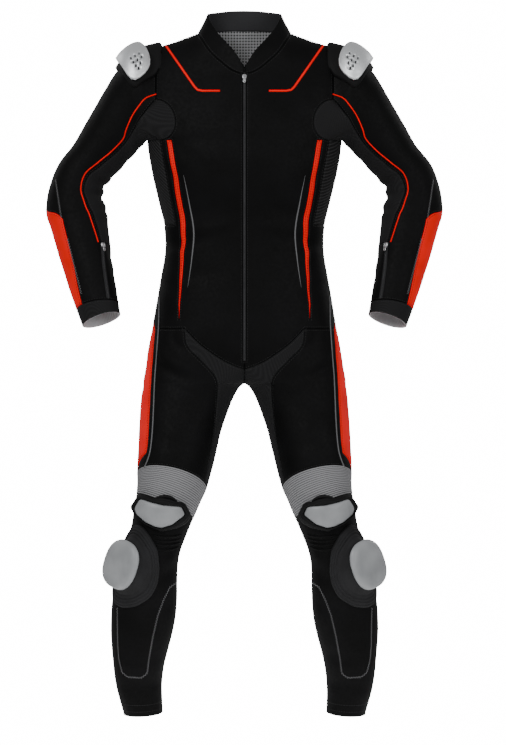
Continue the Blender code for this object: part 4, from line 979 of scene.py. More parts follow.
def mapped(tree, value, low, high, to_low, to_high):
    return add(
        tree,
        "ShaderNodeMapRange",
        {"Value": value, "From Min": low, "From Max": high, "To Min": to_low, "To Max": to_high},
    ).outputs["Result"]


def sine_lines(tree, coords, way, pitch):
    """Parallel lines from 0 to 1, a pitch in millimetres apart along a direction."""
    length = math.sqrt(sum(v * v for v in way))
    turn = 2 * math.pi / (pitch * MM) / length
    dot = add(
        tree, "ShaderNodeVectorMath", {0: coords, 1: [v * turn for v in way]},
        operation="DOT_PRODUCT",
    )  # fmt: skip
    wave = add(tree, "ShaderNodeMath", {0: dot.outputs["Value"]}, operation="SINE")
    return mapped(tree, wave.outputs[0], -1, 1, 0, 1)


def grained_leather(name, colour, worn, roughness):
    # Full-grain cowhide, pigment-finished: a pebble grain of about 1.4 mm, drawn at 2.4 mm so
    # that it shows, satin, with slow changes in tone and a little more shine on its high parts.
    made, tree, shader, coords = start_material(name, roughness, specular=0.1)
    pebble = add(
        tree, "ShaderNodeTexVoronoi", {"Vector": coords, "Scale": 1 / (2.4 * MM)},
        feature="SMOOTH_F1",
    )  # fmt: skip
    crinkle = add(
        tree, "ShaderNodeTexNoise", {"Vector": coords, "Scale": 1 / (6 * MM), "Detail": 4.0}
    )
    both = add(
        tree, "ShaderNodeMath", {0: pebble.outputs["Distance"], 1: crinkle.outputs["Fac"]},
        operation="ADD",
    )  # fmt: skip
    bumped(tree, shader, both.outputs[0], 0.16, 0.55)
    tone = add(tree, "ShaderNodeTexNoise", {"Vector": coords, "Scale": 1 / (70 * MM)})
    colours = mixed(tree, mapped(tree, tone.outputs["Fac"], 0.35, 0.7, 0, 1), colour, worn)
    tree.links.new(colours, shader.inputs["Base Color"])
    gloss = mapped(tree, crinkle.outputs["Fac"], 0.3, 0.7, roughness - 0.05, roughness + 0.08)
    tree.links.new(gloss, shader.inputs["Roughness"])
    return made


def knitted_stretch(name, colour, dark, pitch):
    # Woven aramid stretch cloth: fine upright ribs crossed by a weft, matt and even.
    made, tree, shader, coords = start_material(name, 0.88, specular=0.2)
    ribs = sine_lines(tree, coords, (0.35, 0.9, 0.25), pitch)
    weft = sine_lines(tree, coords, (0.0, 0.1, 1.0), pitch * 0.8)
    both = add(tree, "ShaderNodeMath", {0: ribs, 1: weft}, operation="MULTIPLY").outputs[0]
    bumped(tree, shader, both, 0.3, 0.5)
    tree.links.new(mixed(tree, both, dark, colour), shader.inputs["Base Color"])
    return made


def diagonal_rib_cloth(name, colour, crest_highlight, pitch):
    # Ribbed stretch cloth sewn in on the bias: low cords, their crests painted lighter than the dark
    # cloth between them as a painted highlight.
    made, tree, shader, coords = start_material(name, 0.85, specular=0.25)
    cords = sine_lines(tree, coords, (0.35, -0.5, 0.8), pitch)
    top = mapped(tree, cords, 0.55, 0.9, 0, 1)
    bumped(tree, shader, cords, 1.1, 0.8)
    # painted highlight: the cords' crests are coloured lighter
    tree.links.new(mixed(tree, top, colour, crest_highlight), shader.inputs["Base Color"])
    return made


def knee_rib_cloth(name, colour, valley_shade_and_weave):
    # Ribbed elastic cloth: the ribs are real, and by the attribute "rib" their valleys are painted
    # darker as painted shade; the weave's lines are a little darker too.
    made, tree, shader, coords = start_material(name, 0.8, specular=0.3)
    rib = add(tree, "ShaderNodeAttribute", attribute_name="rib").outputs["Fac"]
    weave = sine_lines(tree, coords, (1, 0.7, 0.15), 1.6)
    # painted shade: the colour falls from the crest colour to the valley shade as the rib's height
    # falls
    colours = mixed(tree, mapped(tree, rib, 0.15, 0.75, 0, 1), valley_shade_and_weave, colour)
    soft = mixed(tree, mapped(tree, weave, 0, 1, 0.0, 0.16), colours, valley_shade_and_weave)
    tree.links.new(soft, shader.inputs["Base Color"])
    bumped(tree, shader, weave, 0.2, 0.4)
    return made


def spacer_mesh(name, colour, hole, pitch):
    # Polyester spacer mesh: a regular net whose round holes are painted dark as painted shade in their
    # depth, drawn at the size that shows.
    made, tree, shader, coords = start_material(name, 0.9, specular=0.2)
    cells = add(
        tree, "ShaderNodeVectorMath", {0: coords, 1: (1 / (pitch * MM), 0, 1 / (pitch * MM))},
        operation="MULTIPLY",
    )  # fmt: skip
    inside = add(tree, "ShaderNodeVectorMath", {0: cells.outputs[0]}, operation="FRACTION")
    away = add(
        tree, "ShaderNodeVectorMath", {0: inside.outputs[0], 1: (0.5, 0, 0.5)},
        operation="DISTANCE",
    ).outputs["Value"]  # fmt: skip
    net = mapped(tree, away, 0.24, 0.36, 0, 1)
    # painted shade: the holes are coloured dark rather than cut
    tree.links.new(mixed(tree, net, hole, colour), shader.inputs["Base Color"])
    bumped(tree, shader, net, 0.6, 0.8)
    return made


def woven_cloth(name, colour, dark, pitch, roughness=0.85):
    # Plain woven tape or lining: warp and weft threads crossing.
    made, tree, shader, coords = start_material(name, roughness, specular=0.25)
    warp = sine_lines(tree, coords, (1, 0.4, 0), pitch)
    weft = sine_lines(tree, coords, (0, 0.2, 1), pitch)
    both = add(tree, "ShaderNodeMath", {0: warp, 1: weft}, operation="MULTIPLY").outputs[0]
    tree.links.new(mixed(tree, both, dark, colour), shader.inputs["Base Color"])
    bumped(tree, shader, both, 0.25, 0.5)
    return made


def brushed_metal(name, colour, dark, way):
    # Anodised aluminium, brushed one way: fine streaks in tone and in shine.
    made, tree, shader, coords = start_material(name, 0.5, metallic=1.0)
    squeezed = add(
        tree, "ShaderNodeMapping", {"Vector": coords, "Scale": way}, vector_type="POINT"
    )
    streaks = add(
        tree, "ShaderNodeTexNoise",
        {"Vector": squeezed.outputs[0], "Scale": 1 / (0.9 * MM), "Detail": 3.0},
    ).outputs["Fac"]  # fmt: skip
    tree.links.new(
        mixed(tree, mapped(tree, streaks, 0.35, 0.65, 0, 1), dark, colour),
        shader.inputs["Base Color"],
    )
    tree.links.new(mapped(tree, streaks, 0.3, 0.7, 0.44, 0.62), shader.inputs["Roughness"])
    bumped(tree, shader, streaks, 0.05, 0.4)
    return made


def moulded(name, colour, shade_colour, roughness, grain=1.2, depth=0.06, specular=0.4):
    # Injection-moulded plastic or rubber: even colour with the mould's fine spark-eroded texture.
    made, tree, shader, coords = start_material(name, roughness, specular=specular)
    speck = add(
        tree, "ShaderNodeTexNoise", {"Vector": coords, "Scale": 1 / (grain * MM), "Detail": 2.0}
    ).outputs["Fac"]
    cloud = add(tree, "ShaderNodeTexNoise", {"Vector": coords, "Scale": 1 / (45 * MM)})
    tone = mapped(tree, cloud.outputs["Fac"], 0.35, 0.7, 0, 1)
    tree.links.new(mixed(tree, tone, colour, shade_colour), shader.inputs["Base Color"])
    bumped(tree, shader, speck, depth, 0.5)
    return made


def plated_metal(name, colour, roughness):
    # Die-cast zinc, nickel plated: bright, with faint tumbling marks.
    made, tree, shader, coords = start_material(name, roughness, metallic=1.0)
    shader.inputs["Base Color"].default_value = colour
    marks = add(
        tree, "ShaderNodeTexNoise", {"Vector": coords, "Scale": 1 / (1.5 * MM), "Detail": 3.0}
    ).outputs["Fac"]
    tree.links.new(
        mapped(tree, marks, 0.3, 0.7, roughness - 0.08, roughness + 0.1), shader.inputs["Roughness"]
    )
    return made


def spun_thread(name, colour):
    # Bonded polyester thread: round, twisted, with a soft shine.
    made, tree, shader, coords = start_material(name, 0.6, specular=0.4)
    shader.inputs["Base Color"].default_value = colour
    bumped(tree, shader, sine_lines(tree, coords, (1, 1, 1), 1.1), 0.08, 0.6)
    return made


def value_of(given):
    """A number as it is, and a hex value or a colour property as a shader's colour."""
    if isinstance(given, str):
        return linear(given)
    return given if isinstance(given, (int, float, tuple)) else shade(given)


@lru_cache(maxsize=None)
def finish_of(name):
    """The material of a finish, made once."""
    sizes = bpy.context.scene.suit_finish
    maker, *values = {
        "black_cowhide": (grained_leather, sizes.leather, "#080809", 0.62),
        "red_cowhide": (grained_leather, sizes.red, "#E60000", 0.55),
        "charcoal_stretch_cloth": (knitted_stretch, sizes.stretch, "#141415", 2.6),
        # the bias cloth's second colour is a painted highlight on its cords' crests
        "bias_ribbed_cloth": (diagonal_rib_cloth, "#0A0A0B", "#2A2A2B", sizes.side_rib / MM),
        # the knee cloth's second colour is the painted shade of its rib valleys
        "ribbed_knee_cloth": (knee_rib_cloth, sizes.ribs, "#464648"),
        # the mesh's second colour is the painted shade in its holes
        "grey_spacer_mesh": (spacer_mesh, sizes.lining, "#3A3A3C", sizes.mesh_pitch / MM),
        "collar_facing_cloth": (woven_cloth, "#38383A", "#29292B", 1.6),
        "pale_cuff_lining": (woven_cloth, "#F2F2F4", "#C8C8CA", 2.4),
        "woven_zip_tape": (woven_cloth, sizes.tape, "#1C1C1D", 1.2),
        "nylon_zip_coil": (moulded, "#3C3C3E", "#2C2C2E", 0.45, 0.8),
        "nickel_plated_zinc": (plated_metal, "#C9CACC", 0.3),
        "brushed_aluminium": (brushed_metal, sizes.metal, "#DADCDE", (1.0, 1.0, 0.06)),
        "grey_moulded_nylon": (moulded, sizes.plastic, "#86888A", 0.42, 0.9, 0.04),
        "black_moulded_rubber": (moulded, "#09090A", "#060607", 0.7, 1.2, 0.06, 0.2),
        "ridged_slider_rubber": (moulded, "#1C1C1E", "#141415", 0.75, 1.2, 0.06, 0.25),
        "grey_corded_piping": (woven_cloth, "#7C7C7E", "#5C5C5E", 1.4),
        "black_thread": (spun_thread, "#1B1B1C"),
        "grey_thread": (spun_thread, "#6A6A6C"),
    }[name]
    return maker(name, *(value_of(given) for given in values))


def link(name, mesh, finish, replaces=(), body="suit"):
    """Adds a finished piece, which rides on its body and stands for its CAD nodes."""
    mesh.materials.clear()
    mesh.materials.append(finish_of(finish))
    mesh.polygons.foreach_set("use_smooth", [True] * len(mesh.polygons))
    piece = bpy.data.objects.new(name, mesh)
    bpy.context.scene.collection.objects.link(piece)
    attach(piece, body)
    if replaces:
        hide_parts(*replaces)
    return piece


def solid(name, made, finish, side=1, body="suit"):
    """A piece of (points, faces) that stands for the CAD node of its name."""
    return link(name, to_mesh(name, *made, side), finish, (name,), body)


def to_mesh(name, points, faces, side=1):
    """A mesh from points in millimetres, turned over where it is for the right side."""
    mesh = bpy.data.meshes.new(name)
    turn = Vector((side, 1, 1)) * MM
    mesh.from_pydata([Vector(p) * turn for p in points], [], faces)
    mesh.validate()
    made = bmesh.new()
    made.from_mesh(mesh)
    bmesh.ops.recalc_face_normals(made, faces=made.faces[:])
    made.to_mesh(mesh)
    made.free()
    return mesh


def thicken(piece, thickness):
    """Gives a sheet its thickness, inwards."""
    wall = piece.modifiers.new("thickness", "SOLIDIFY")
    wall.thickness = thickness * MM
    wall.offset = -1
    wall.use_rim = True


def sheet_mesh(suit, name, numbers, sides, depth=0.0, dip=SEAM_DIP):
    """A panel's outer face, drawn in where it meets a seam. numbers are the suit's faces."""
    made = bmesh.new()
    corners, facts = {}, {}

    def corner(i, side):
        at_middle = abs(suit.base[i][0]) < MIDDLE
        if at_middle and (name != "collar" or suit.base[i][1] > 0):
            side = sides[0]
        if (i, side) not in corners:
            flip = Vector((side, 1, 1))
            normal = Vector(suit.normals[side][i]) * flip
            place = Vector(suit.places[side][i]) * flip - normal * depth
            corners[i, side] = made.verts.new(place)
            facts[corners[i, side]] = (i, normal)
        return corners[i, side]

    for side in sides:
        for number in numbers:
            ids = suit.faces[number][3]
            ids = ids if side > 0 else tuple(reversed(ids))
            made.faces.new([corner(i, side) for i in ids])
    made.verts.index_update()
    lowered = set()
    for edge in made.edges:
        if edge.is_boundary and frozenset(facts[end][0] for end in edge.verts) in suit.stops:
            lowered.update(edge.verts)
    for vert in lowered:
        vert.co -= facts[vert][1] * dip
    for vert in made.verts:
        vert.co *= MM
    mesh = bpy.data.meshes.new(name)
    made.to_mesh(mesh)
    made.free()
    return mesh


def spaced(path, step):
    """Points along a line, no further apart than a step."""
    found = []
    for a, b in zip(path, path[1:]):
        a, b = Vector(a), Vector(b)
        count = max(1, math.ceil((b - a).length / step))
        found += [a.lerp(b, i / count) for i in range(count)]
    return found + [Vector(path[-1])]


def rounded(path, step):
    """Points along a smooth curve through a path's corners."""
    path = [Vector(p) for p in path]
    found = []
    for i in range(len(path) - 1):
        four = [path[min(max(i + k, 0), len(path) - 1)] for k in (-1, 0, 1, 2)]
        count = max(2, math.ceil((path[i + 1] - path[i]).length / step))
        found += [follow(four, j / count) for j in range(count)]
    return found + [path[-1]]


BAND = ((-1, -0.5), (-1, 0.3), (-0.78, 0.8), (-0.35, 1), (0.35, 1), (0.78, 0.8), (1, 0.3), (1, -0.5))


def with_sides(line):
    """Each point of a line with its way out and its way to the left."""
    last = len(line) - 1
    for i, (place, normal) in enumerate(line):
        along = (line[min(i + 1, last)][0] - line[max(i - 1, 0)][0]).normalized()
        yield place, normal, normal.cross(along).normalized()


def tube(steps, count):
    """The faces between rings of as many points each."""
    faces = []
    for i in range(steps):
        for j in range(count):
            a, b = i * count + j, i * count + (j + 1) % count
            faces.append((a, b, b + count, a + count))
    return faces


def band(line, widths, high, lift=0.0):
    """A cord or strip along points that each have a way out; its section is rounded above."""
    points = []
    count, last = len(BAND), len(line) - 1
    for i, (place, normal, beside) in enumerate(with_sides(line)):
        for across_share, up_share in BAND:
            points.append(
                place + beside * (across_share * widths[i] / 2) + normal * (lift + up_share * high)
            )
    faces = tube(last, count)
    faces.append(tuple(range(count)))
    faces.append(tuple(last * count + j for j in reversed(range(count))))
    return points, faces


def join_parts(parts):
    """Several (points, faces) as one."""
    points, faces = [], []
    for more, shapes in parts:
        faces += [tuple(i + len(points) for i in shape) for shape in shapes]
        points += list(more)
    return points, faces


def two_skins(centre, rings):
    """A closed solid of two skins. centre is (low, high); a ring is a list of (low, high)."""
    count = len(rings[0])
    points = list(centre)
    for ring in rings:
        points += [pair[0] for pair in ring] + [pair[1] for pair in ring]
    faces = []
    for j in range(count):
        k = (j + 1) % count
        faces.append((0, 2 + j, 2 + k))
        faces.append((1, 2 + count + k, 2 + count + j))
        for i in range(len(rings) - 1):
            inner, outer = 2 + 2 * count * i, 2 + 2 * count * (i + 1)
            faces.append((inner + j, outer + j, outer + k, inner + k))
            faces.append((inner + count + j, inner + count + k, outer + count + k, outer + count + j))
        edge = 2 + 2 * count * (len(rings) - 1)
        faces.append((edge + j, edge + count + j, edge + count + k, edge + k))
    return points, faces


def around(outline, middle, count):
    """Points of an outline at even angles round its middle."""
    corners = [Vector(p) - Vector(middle) for p in outline]
    found = []
    for i in range(count):
        way = Vector((math.cos(2 * math.pi * i / count), math.sin(2 * math.pi * i / count)))
        for a, b in zip(corners, corners[1:] + corners[:1]):
            side_a, side_b = way.x * a.y - way.y * a.x, way.x * b.y - way.y * b.x
            if side_a * side_b <= 0 and side_a != side_b:
                hit = a.lerp(b, side_a / (side_a - side_b))
                if hit.dot(way) > 0:
                    found.append(Vector(middle) + hit)
                    break
    return found


def softened(points, turns=2):
    """A closed outline with its corners rounded off."""
    for _ in range(turns):
        around_it = zip(points[-1:] + points[:-1], points, points[1:] + points[:1])
        points = [(a + b * 2 + c) / 4 for a, b, c in around_it]
    return points


SIDES = (("l", 1), ("r", -1))

# The flat cut of each sheet: width and length in metres, and the share of that which the cut
# fills; what it is made of; and how it is held.
CUTS = {
    # name: (width, length, share, finish, held)
    "zip_tape": (0.010, 0.62, 0.60, "woven_zip_tape", "stretched"),
    "front": (0.26, 0.73, 0.62, "black_cowhide", "hung"),
    "side_stripe": (0.016, 0.38, 0.58, "red_cowhide", "hung"),
    "side_ribs": (0.16, 0.18, 0.90, "bias_ribbed_cloth", "stretched"),
    "back": (0.52, 0.67, 0.72, "black_cowhide", "hung"),
    "crotch_gusset": (0.46, 0.38, 0.43, "charcoal_stretch_cloth", "stretched"),
    "leg_front": (0.18, 0.34, 0.70, "black_cowhide", "hung"),
    "thigh_panel": (0.16, 0.33, 0.66, "red_cowhide", "hung"),
    "leg_back": (0.25, 0.41, 0.69, "black_cowhide", "hung"),
    "knee_ribs": (0.21, 0.11, 0.85, "ribbed_knee_cloth", "stretched"),
    "lower_leg": (0.46, 0.46, 0.80, "black_cowhide", "hung"),
    "calf_zip": (0.010, 0.30, 0.78, "woven_zip_tape", "stretched"),
    "sleeve": (0.34, 0.59, 0.69, "black_cowhide", "hung"),
    "sleeve_stretch": (0.17, 0.36, 0.71, "charcoal_stretch_cloth", "stretched"),
    "forearm_panel": (0.13, 0.23, 0.66, "red_cowhide", "hung"),
    "cuff": (0.28, 0.032, 0.90, "charcoal_stretch_cloth", "stretched"),
    "collar": (0.42, 0.09, 0.56, "black_cowhide", "stretched"),
    "collar_facing": (0.30, 0.08, 0.60, "collar_facing_cloth", "stretched"),
    "back_lining": (0.32, 0.13, 0.70, "grey_spacer_mesh", "hung"),
    "cuff_lining": (0.27, 0.032, 0.90, "pale_cuff_lining", "stretched"),
}

# Ribbed cloth over the knees: ribs from top to bottom, points down each rib, and points across
# each column; a rib's height.
KNEE_RIBS, RIB_POINTS, RIB_COLUMNS = 17, 6, 7

# Lines that are sewn or fixed on the panels, as seen from the front.
CHEST_STRIPE = ((162, -26), (102, -113), (96, -119), (86, -121), (50, -121))
CHEST_STRIPE_WIDTH = 4.6
SIDE_LINE = ((124.4, -294), (113, -352), (103.9, -409), (108, -465), (116.2, -524))
SIDE_LINE_WIDTH = 3.2
THIGH_PIPING = (
    (175, -540), (176, -600), (180, -660), (184, -714), (187.4, -800), (191.5, -850), (197, -874),
    (205, -893),
)  # fmt: skip
PIPING_WIDTH = 2.6
# The top of the sleeve's piping, as (x, z) from the front; it follows the rings from this one on.
ARM_PIPING = ((181, -127), (203, -136), (217, -152.5), (231, -173.5), (242.5, -199.5))
ARM_PIPING_RING = 3
ARM_THREAD = (((388, -302), (376, -380)), ((363, -424), (334, -537)))
SHIN_THREAD = (
    (261, -1181), (260, -1257), (258, -1286), (251, -1314), (240, -1323), (212, -1325),
    (200, -1316), (196, -1285), (188, -1240), (178, -1197), (166, -1164), (153, -1138),
    (141, -1130),
)  # fmt: skip
# Raised folds of leather beside the knee slider: height, and where each begins and ends.
KNEE_FOLDS = (
    # z     from  to   sag
    (-1030, 128, 190, 5),
    (-1038, 129, 193, 6),
    (-1046, 131, 194, 6),
    (-1055, 134, 193, 7),
)


def sheets_of(over):
    """The ends of a panel's node names, and the sides that each covers."""
    return (("", (1, -1)),) if over else tuple((f"_{end}", (side,)) for end, side in SIDES)


def add_sheet(name, node, mesh, thickness):
    """A sheet of cloth: thickened, and in its material."""
    width, length, share, finish, held = CUTS[name]
    piece = link(node, mesh, finish, (node,))
    thicken(piece, thickness)
    return piece


def add_panels(suit):
    for name, (*_, over) in PANELS.items():
        if name == "knee_ribs":
            continue
        for end, sides in sheets_of(over):
            mesh = sheet_mesh(suit, name, suit.panels[name], sides)
            add_sheet(name, name + end, mesh, WALLS.get(name, LEATHER))


def rib_height(part):
    """Height of the ribs from 0 to 1, a part of the way down: rounded, with narrow valleys."""
    return abs(math.sin(math.pi * KNEE_RIBS * part)) ** 0.6


def add_knee_ribs():
    rows, columns = KNEE_RIBS * RIB_POINTS, 10 * RIB_COLUMNS
    high = bpy.context.scene.suit_sewing.rib_height / MM
    rest = np.array(
        [
            [
                tuple(trunk_point(KNEE_TOP + (KNEE_LOW - KNEE_TOP) * i / rows, 10 * j / columns))
                for j in range(columns + 1)
            ]
            for i in range(rows + 1)
        ]
    )
    ways = np.cross(np.gradient(rest, axis=0), np.gradient(rest, axis=1))
    ways /= np.linalg.norm(ways, axis=2)[:, :, None]
    if ways[rows // 2, columns // 2, 1] > 0:
        ways = -ways
    for end, side in SIDES:
        points, shares = [], []
        for i in range(rows + 1):
            for j in range(columns + 1):
                share = rib_height(i / rows)
                edge = min(i, rows - i, j, columns - j) == 0
                rise = uneven(rest[i, j], side) + (share - 0.4) * high * min(j, columns - j, 3) / 3
                if edge:
                    rise = uneven(rest[i, j], side) - SEAM_DIP
                points.append(Vector(rest[i, j] + ways[i, j] * rise))
                shares.append(0.0 if edge else share)
        faces = []
        for i in range(rows):
            for j in range(columns):
                a = i * (columns + 1) + j
                faces.append((a, a + columns + 1, a + columns + 2, a + 1))
        mesh = to_mesh(f"knee_ribs_{end}", points, faces, side)
        face_out(mesh)
        # the rib's height, by which the valleys and the seam edges are painted darker as painted shade
        mesh.attributes.new("rib", "FLOAT", "POINT").data.foreach_set("value", shares)
        add_sheet("knee_ribs", f"knee_ribs_{end}", mesh, RIBBED)


def face_out(mesh):
    """Turns the faces of a patch round a limb outwards."""
    middle = sum((face.center for face in mesh.polygons), Vector()) / len(mesh.polygons)
    if sum(face.normal.dot(face.center - middle) for face in mesh.polygons) < 0:
        mesh.flip_normals()


def add_linings(suit):
    def cells(test):
        return [number for number, face in enumerate(suit.faces) if test(*face[:3])]

    collar = cells(lambda grid, row, column: grid == "collar" and column >= 3 * FINE)
    mesh = sheet_mesh(suit, "collar_facing", collar, (1, -1), COLLAR_WALL + 0.6, 0.0)
    add_sheet("collar_facing", "collar_facing", mesh, LINING)
    back = cells(lambda grid, row, column: grid == "trunk" and row < 4 * FINE and column >= 12 * FINE)
    mesh = sheet_mesh(suit, "back_lining", back, (1, -1), LEATHER + 0.6, 0.0)
    add_sheet("back_lining", "back_lining", mesh, LINING)
    cuff = cells(lambda grid, row, column: grid == "sleeve" and row >= CUFF_TOP * FINE)
    for end, side in SIDES:
        mesh = sheet_mesh(suit, "cuff_lining", cuff, (side,), STRETCH + 0.6, 0.0)
        add_sheet("cuff_lining", f"cuff_lining_{end}", mesh, LINING)


def arm_line(suit, side):
    """The line of the sleeve's piping, from the chest down to the zip."""
    fixed = [suit.seen(side, x, z)[0] for x, z in ARM_PIPING]
    for ring in range(ARM_PIPING_RING, STRETCH_END + 1):
        fixed.append(ring_point(ring, math.degrees(math.asin(2 * SLEEVE[ring - 1][9] - 1))))
    return rounded(fixed, 5)


def add_piping(suit):
    for end, side in SIDES:
        line = [suit.seen(side, p.x, p.y) for p in spaced(CHEST_STRIPE, 4)]
        made = band(line, [CHEST_STRIPE_WIDTH] * len(line), 1.2)
        solid(f"chest_stripe_{end}", made, "red_cowhide", side)
        line = [suit.laid(side, p) for p in arm_line(suit, side)]
        made = band(line, [PIPING_WIDTH] * len(line), 1.5)
        solid(f"sleeve_piping_{end}", made, "red_cowhide", side)
        line = [suit.seen(side, p.x, p.y) for p in rounded([(x, z, 0) for x, z in THIGH_PIPING], 5)]
        made = band(line, [PIPING_WIDTH] * len(line), 1.5)
        solid(f"thigh_piping_{end}", made, "grey_corded_piping", side)
        line = [suit.seen(side, p.x, p.y) for p in rounded([(x, z, 0) for x, z in SIDE_LINE], 5)]
        widths = [
            SIDE_LINE_WIDTH * math.sin(math.pi * (i + 0.6) / (len(line) + 0.2)) ** 0.8
            for i in range(len(line))
        ]
        mesh = to_mesh(f"side_line_{end}", *band(line, widths, 0.7), side)
        link(f"side_line_{end}", mesh, "grey_corded_piping")


# Zips: a slider's middle, the way across it and the way up it, and its pull's bar.
ZIPS = {
    # name: (middle, across, up, bar)
    "main": ((0, -83.83, -92.22), (1, 0, 0), (0, 0.3758, 0.9267), (0, -86.24, -91.24)),
    "cuff": (
        (289.73, -59.06, -436.25), (0.7775, -0.6156, 0.1285), (0.0935, 0.3153, 0.9444),
        (288.12, -60.94, -435.46),
    ),
}  # fmt: skip
TAPE_ON_CUFF = 8.0
COIL_WIDTH, COIL_HEIGHT = 3.4, 1.5


def zip_frame(name, at):
    """A frame on a zip: x across it, y into the suit and z up along it."""
    across_it, up = (Vector(v).normalized() for v in ZIPS[name][1:3])
    frame = Matrix((across_it, up.cross(across_it), up)).transposed().to_4x4()
    frame.translation = ZIPS[name][at]
    return frame


def prism(outline, levels):
    """A plate with eased edges. levels are (y, how far the outline is drawn in)."""
    count = len(outline)
    points = []
    for y, inset in levels:
        for x, z in outline:
            reach = math.hypot(x, z)
            share = 1 - inset / reach
            points.append(Vector((x * share, y, z * share)))
    faces = tube(len(levels) - 1, count)
    last = len(points) - count
    faces.append(tuple(range(count)))
    faces.append(tuple(reversed(range(last, last + count))))
    return points, faces


def rod(path, radius, sides=8):
    """A round rod along a path in the plane x = const or along x."""
    points = []
    path = [Vector(p) for p in path]
    last = len(path) - 1
    for i, place in enumerate(path):
        along = (path[min(i + 1, last)] - path[max(i - 1, 0)]).normalized()
        first = along.orthogonal().normalized() if abs(along.x) > 0.9 else Vector((1, 0, 0))
        second = along.cross(first).normalized()
        for j in range(sides):
            turn = 2 * math.pi * j / sides
            points.append(place + (first * math.cos(turn) + second * math.sin(turn)) * radius)
    faces = tube(last, sides)
    faces.append(tuple(reversed(range(sides))))
    faces.append(tuple(range(last * sides, (last + 1) * sides)))
    return points, faces


SLIDER_OUTLINE = (
    (-2.2, 5.5), (2.2, 5.5), (3.9, 4.2), (4.5, 1.6), (3.9, -1.6), (2.9, -4.6), (2.0, -5.5),
    (-2.0, -5.5), (-2.9, -4.6), (-3.9, -1.6), (-4.5, 1.6), (-3.9, 4.2),
)  # fmt: skip
PULL_OUTER, PULL_INNER = 14.0, 5.0


def slider_body():
    """Two plates with the zip between them, the post that joins them, and the crown on top."""
    upper = prism(SLIDER_OUTLINE, ((-1.5, 0.5), (-1.3, 0.1), (-1.0, 0.0), (-0.6, 0.0)))
    lower = prism(SLIDER_OUTLINE, ((0.7, 0.0), (1.3, 0.0), (1.5, 0.4)))
    post = prism(((-1.0, 4.6), (1.0, 4.6), (0.5, 1.0), (-0.5, 1.0)), ((-0.7, 0.0), (0.8, 0.0)))
    arch = [
        (0, -1.0 - 3.3 * math.sin(math.pi * i / 12) ** 0.6, 3.0 * math.cos(math.pi * i / 12))
        for i in range(13)
    ]
    return join_parts([upper, lower, post, rod(arch, 0.55)])


def pull_body():
    """A pull: the bar under the crown, two arms, and the tab with its eyelet."""
    bar = rod(((-2.9, 0, 0), (-1, 0, 0), (1, 0, 0), (2.9, 0, 0)), 0.6)
    arms = [
        rod(((x * 2.35, 0, 0.3), (x * 2.35, 0, -2.5), (x * 2.35, 0, -5.6)), 0.62) for x in (-1, 1)
    ]
    count = 32
    points, faces = [], []
    middle, long, wide = -(PULL_OUTER + PULL_INNER) / 2, (PULL_OUTER - PULL_INNER) / 2, 3.0
    for y, inset in ((-0.7, 0.3), (-0.5, 0.0), (0.5, 0.0), (0.7, 0.3)):
        for reach_x, reach_z, at in (
            (wide - inset, long - inset, middle), (1.1 + inset, 1.1 + inset, -PULL_OUTER + 2.9),
        ):  # fmt: skip
            for i in range(count):
                turn = 2 * math.pi * i / count
                c, s = math.cos(turn), math.sin(turn)
                x = reach_x * math.copysign(abs(c) ** 0.7, c)
                points.append(Vector((x, y, at + reach_z * math.copysign(abs(s) ** 0.7, s))))
    for j in range(count):
        k = (j + 1) % count
        for i in range(3):
            a, b = 2 * count * i, 2 * count * (i + 1)
            faces.append((a + j, a + k, b + k, b + j))
            faces.append((a + count + j, b + count + j, b + count + k, a + count + k))
        top = 6 * count
        faces.append((j, j + count, k + count, k))
        faces.append((top + j, top + k, top + count + k, top + count + j))
    return join_parts([bar, *arms, (points, faces)])


def add_zips(suit):
    def placed(name, at, made):
        frame = zip_frame(name, at)
        return [frame @ Vector(p) for p in made[0]], made[1]

    sizes = bpy.context.scene.suit_zips
    coil = dict(
        Spacing=sizes.pitch, Length=sizes.pitch * 0.8, Width=COIL_WIDTH * MM,
        Height=COIL_HEIGHT * MM, Sideways=0.35 * MM,
    )  # fmt: skip
    zinc = "nickel_plated_zinc"
    solid("zip_slider", placed("main", 0, slider_body()), zinc)
    solid("zip_pull", placed("main", 3, pull_body()), zinc, body="main_pull")
    top = Vector(ZIPS["main"][0]).z - 4
    line = [suit.seen(1, 0.0, top + (LEVELS[TAPE_END] + 3 - top) * i / 150) for i in range(151)]
    grown("zip_coil", run_tree(), [line], 1, coil, "nylon_zip_coil")
    for end, side in SIDES:
        body = f"{'left' if side > 0 else 'right'}_cuff_pull"
        solid(f"cuff_slider_{end}", placed("cuff", 0, slider_body()), zinc, side)
        solid(f"cuff_pull_{end}", placed("cuff", 3, pull_body()), zinc, side, body)
        steps = [STRETCH_END + 0.05 + (CUFF_TOP - STRETCH_END - 0.1) * i / 40 for i in range(41)]
        line = [suit.laid(side, sleeve_point(ring, PANEL_AT)) for ring in steps]
        made = band(line, [TAPE_ON_CUFF] * len(line), 1.0, 0.5)
        solid(f"cuff_zip_{end}", made, "woven_zip_tape", side)
        raised = [(place + normal * 1.6, normal) for place, normal in line[3:]]
        grown(f"cuff_zip_coil_{end}", run_tree(), [raised], side, coil, "nylon_zip_coil")
        steps = [ZIP_TOP + 0.1 + (HEM - ZIP_TOP - 0.2) * i / 60 for i in range(61)]
        line = [suit.laid(side, trunk_point(row, 12.5)) for row in steps]
        grown(f"calf_zip_coil_{end}", run_tree(), [line], side, coil, "nylon_zip_coil")


def new_tree(name, sizes):
    """A tree of geometry nodes, and its inputs."""
    tree = bpy.data.node_groups.new(name, "GeometryNodeTree")
    kinds = {"Geometry": "Geometry", **{size: "Float" for size in sizes}, "Material": "Material"}
    for socket, kind in kinds.items():
        tree.interface.new_socket(socket, in_out="INPUT", socket_type=f"NodeSocket{kind}")
    tree.interface.new_socket("Geometry", in_out="OUTPUT", socket_type="NodeSocketGeometry")
    return tree, add(tree, "NodeGroupInput").outputs


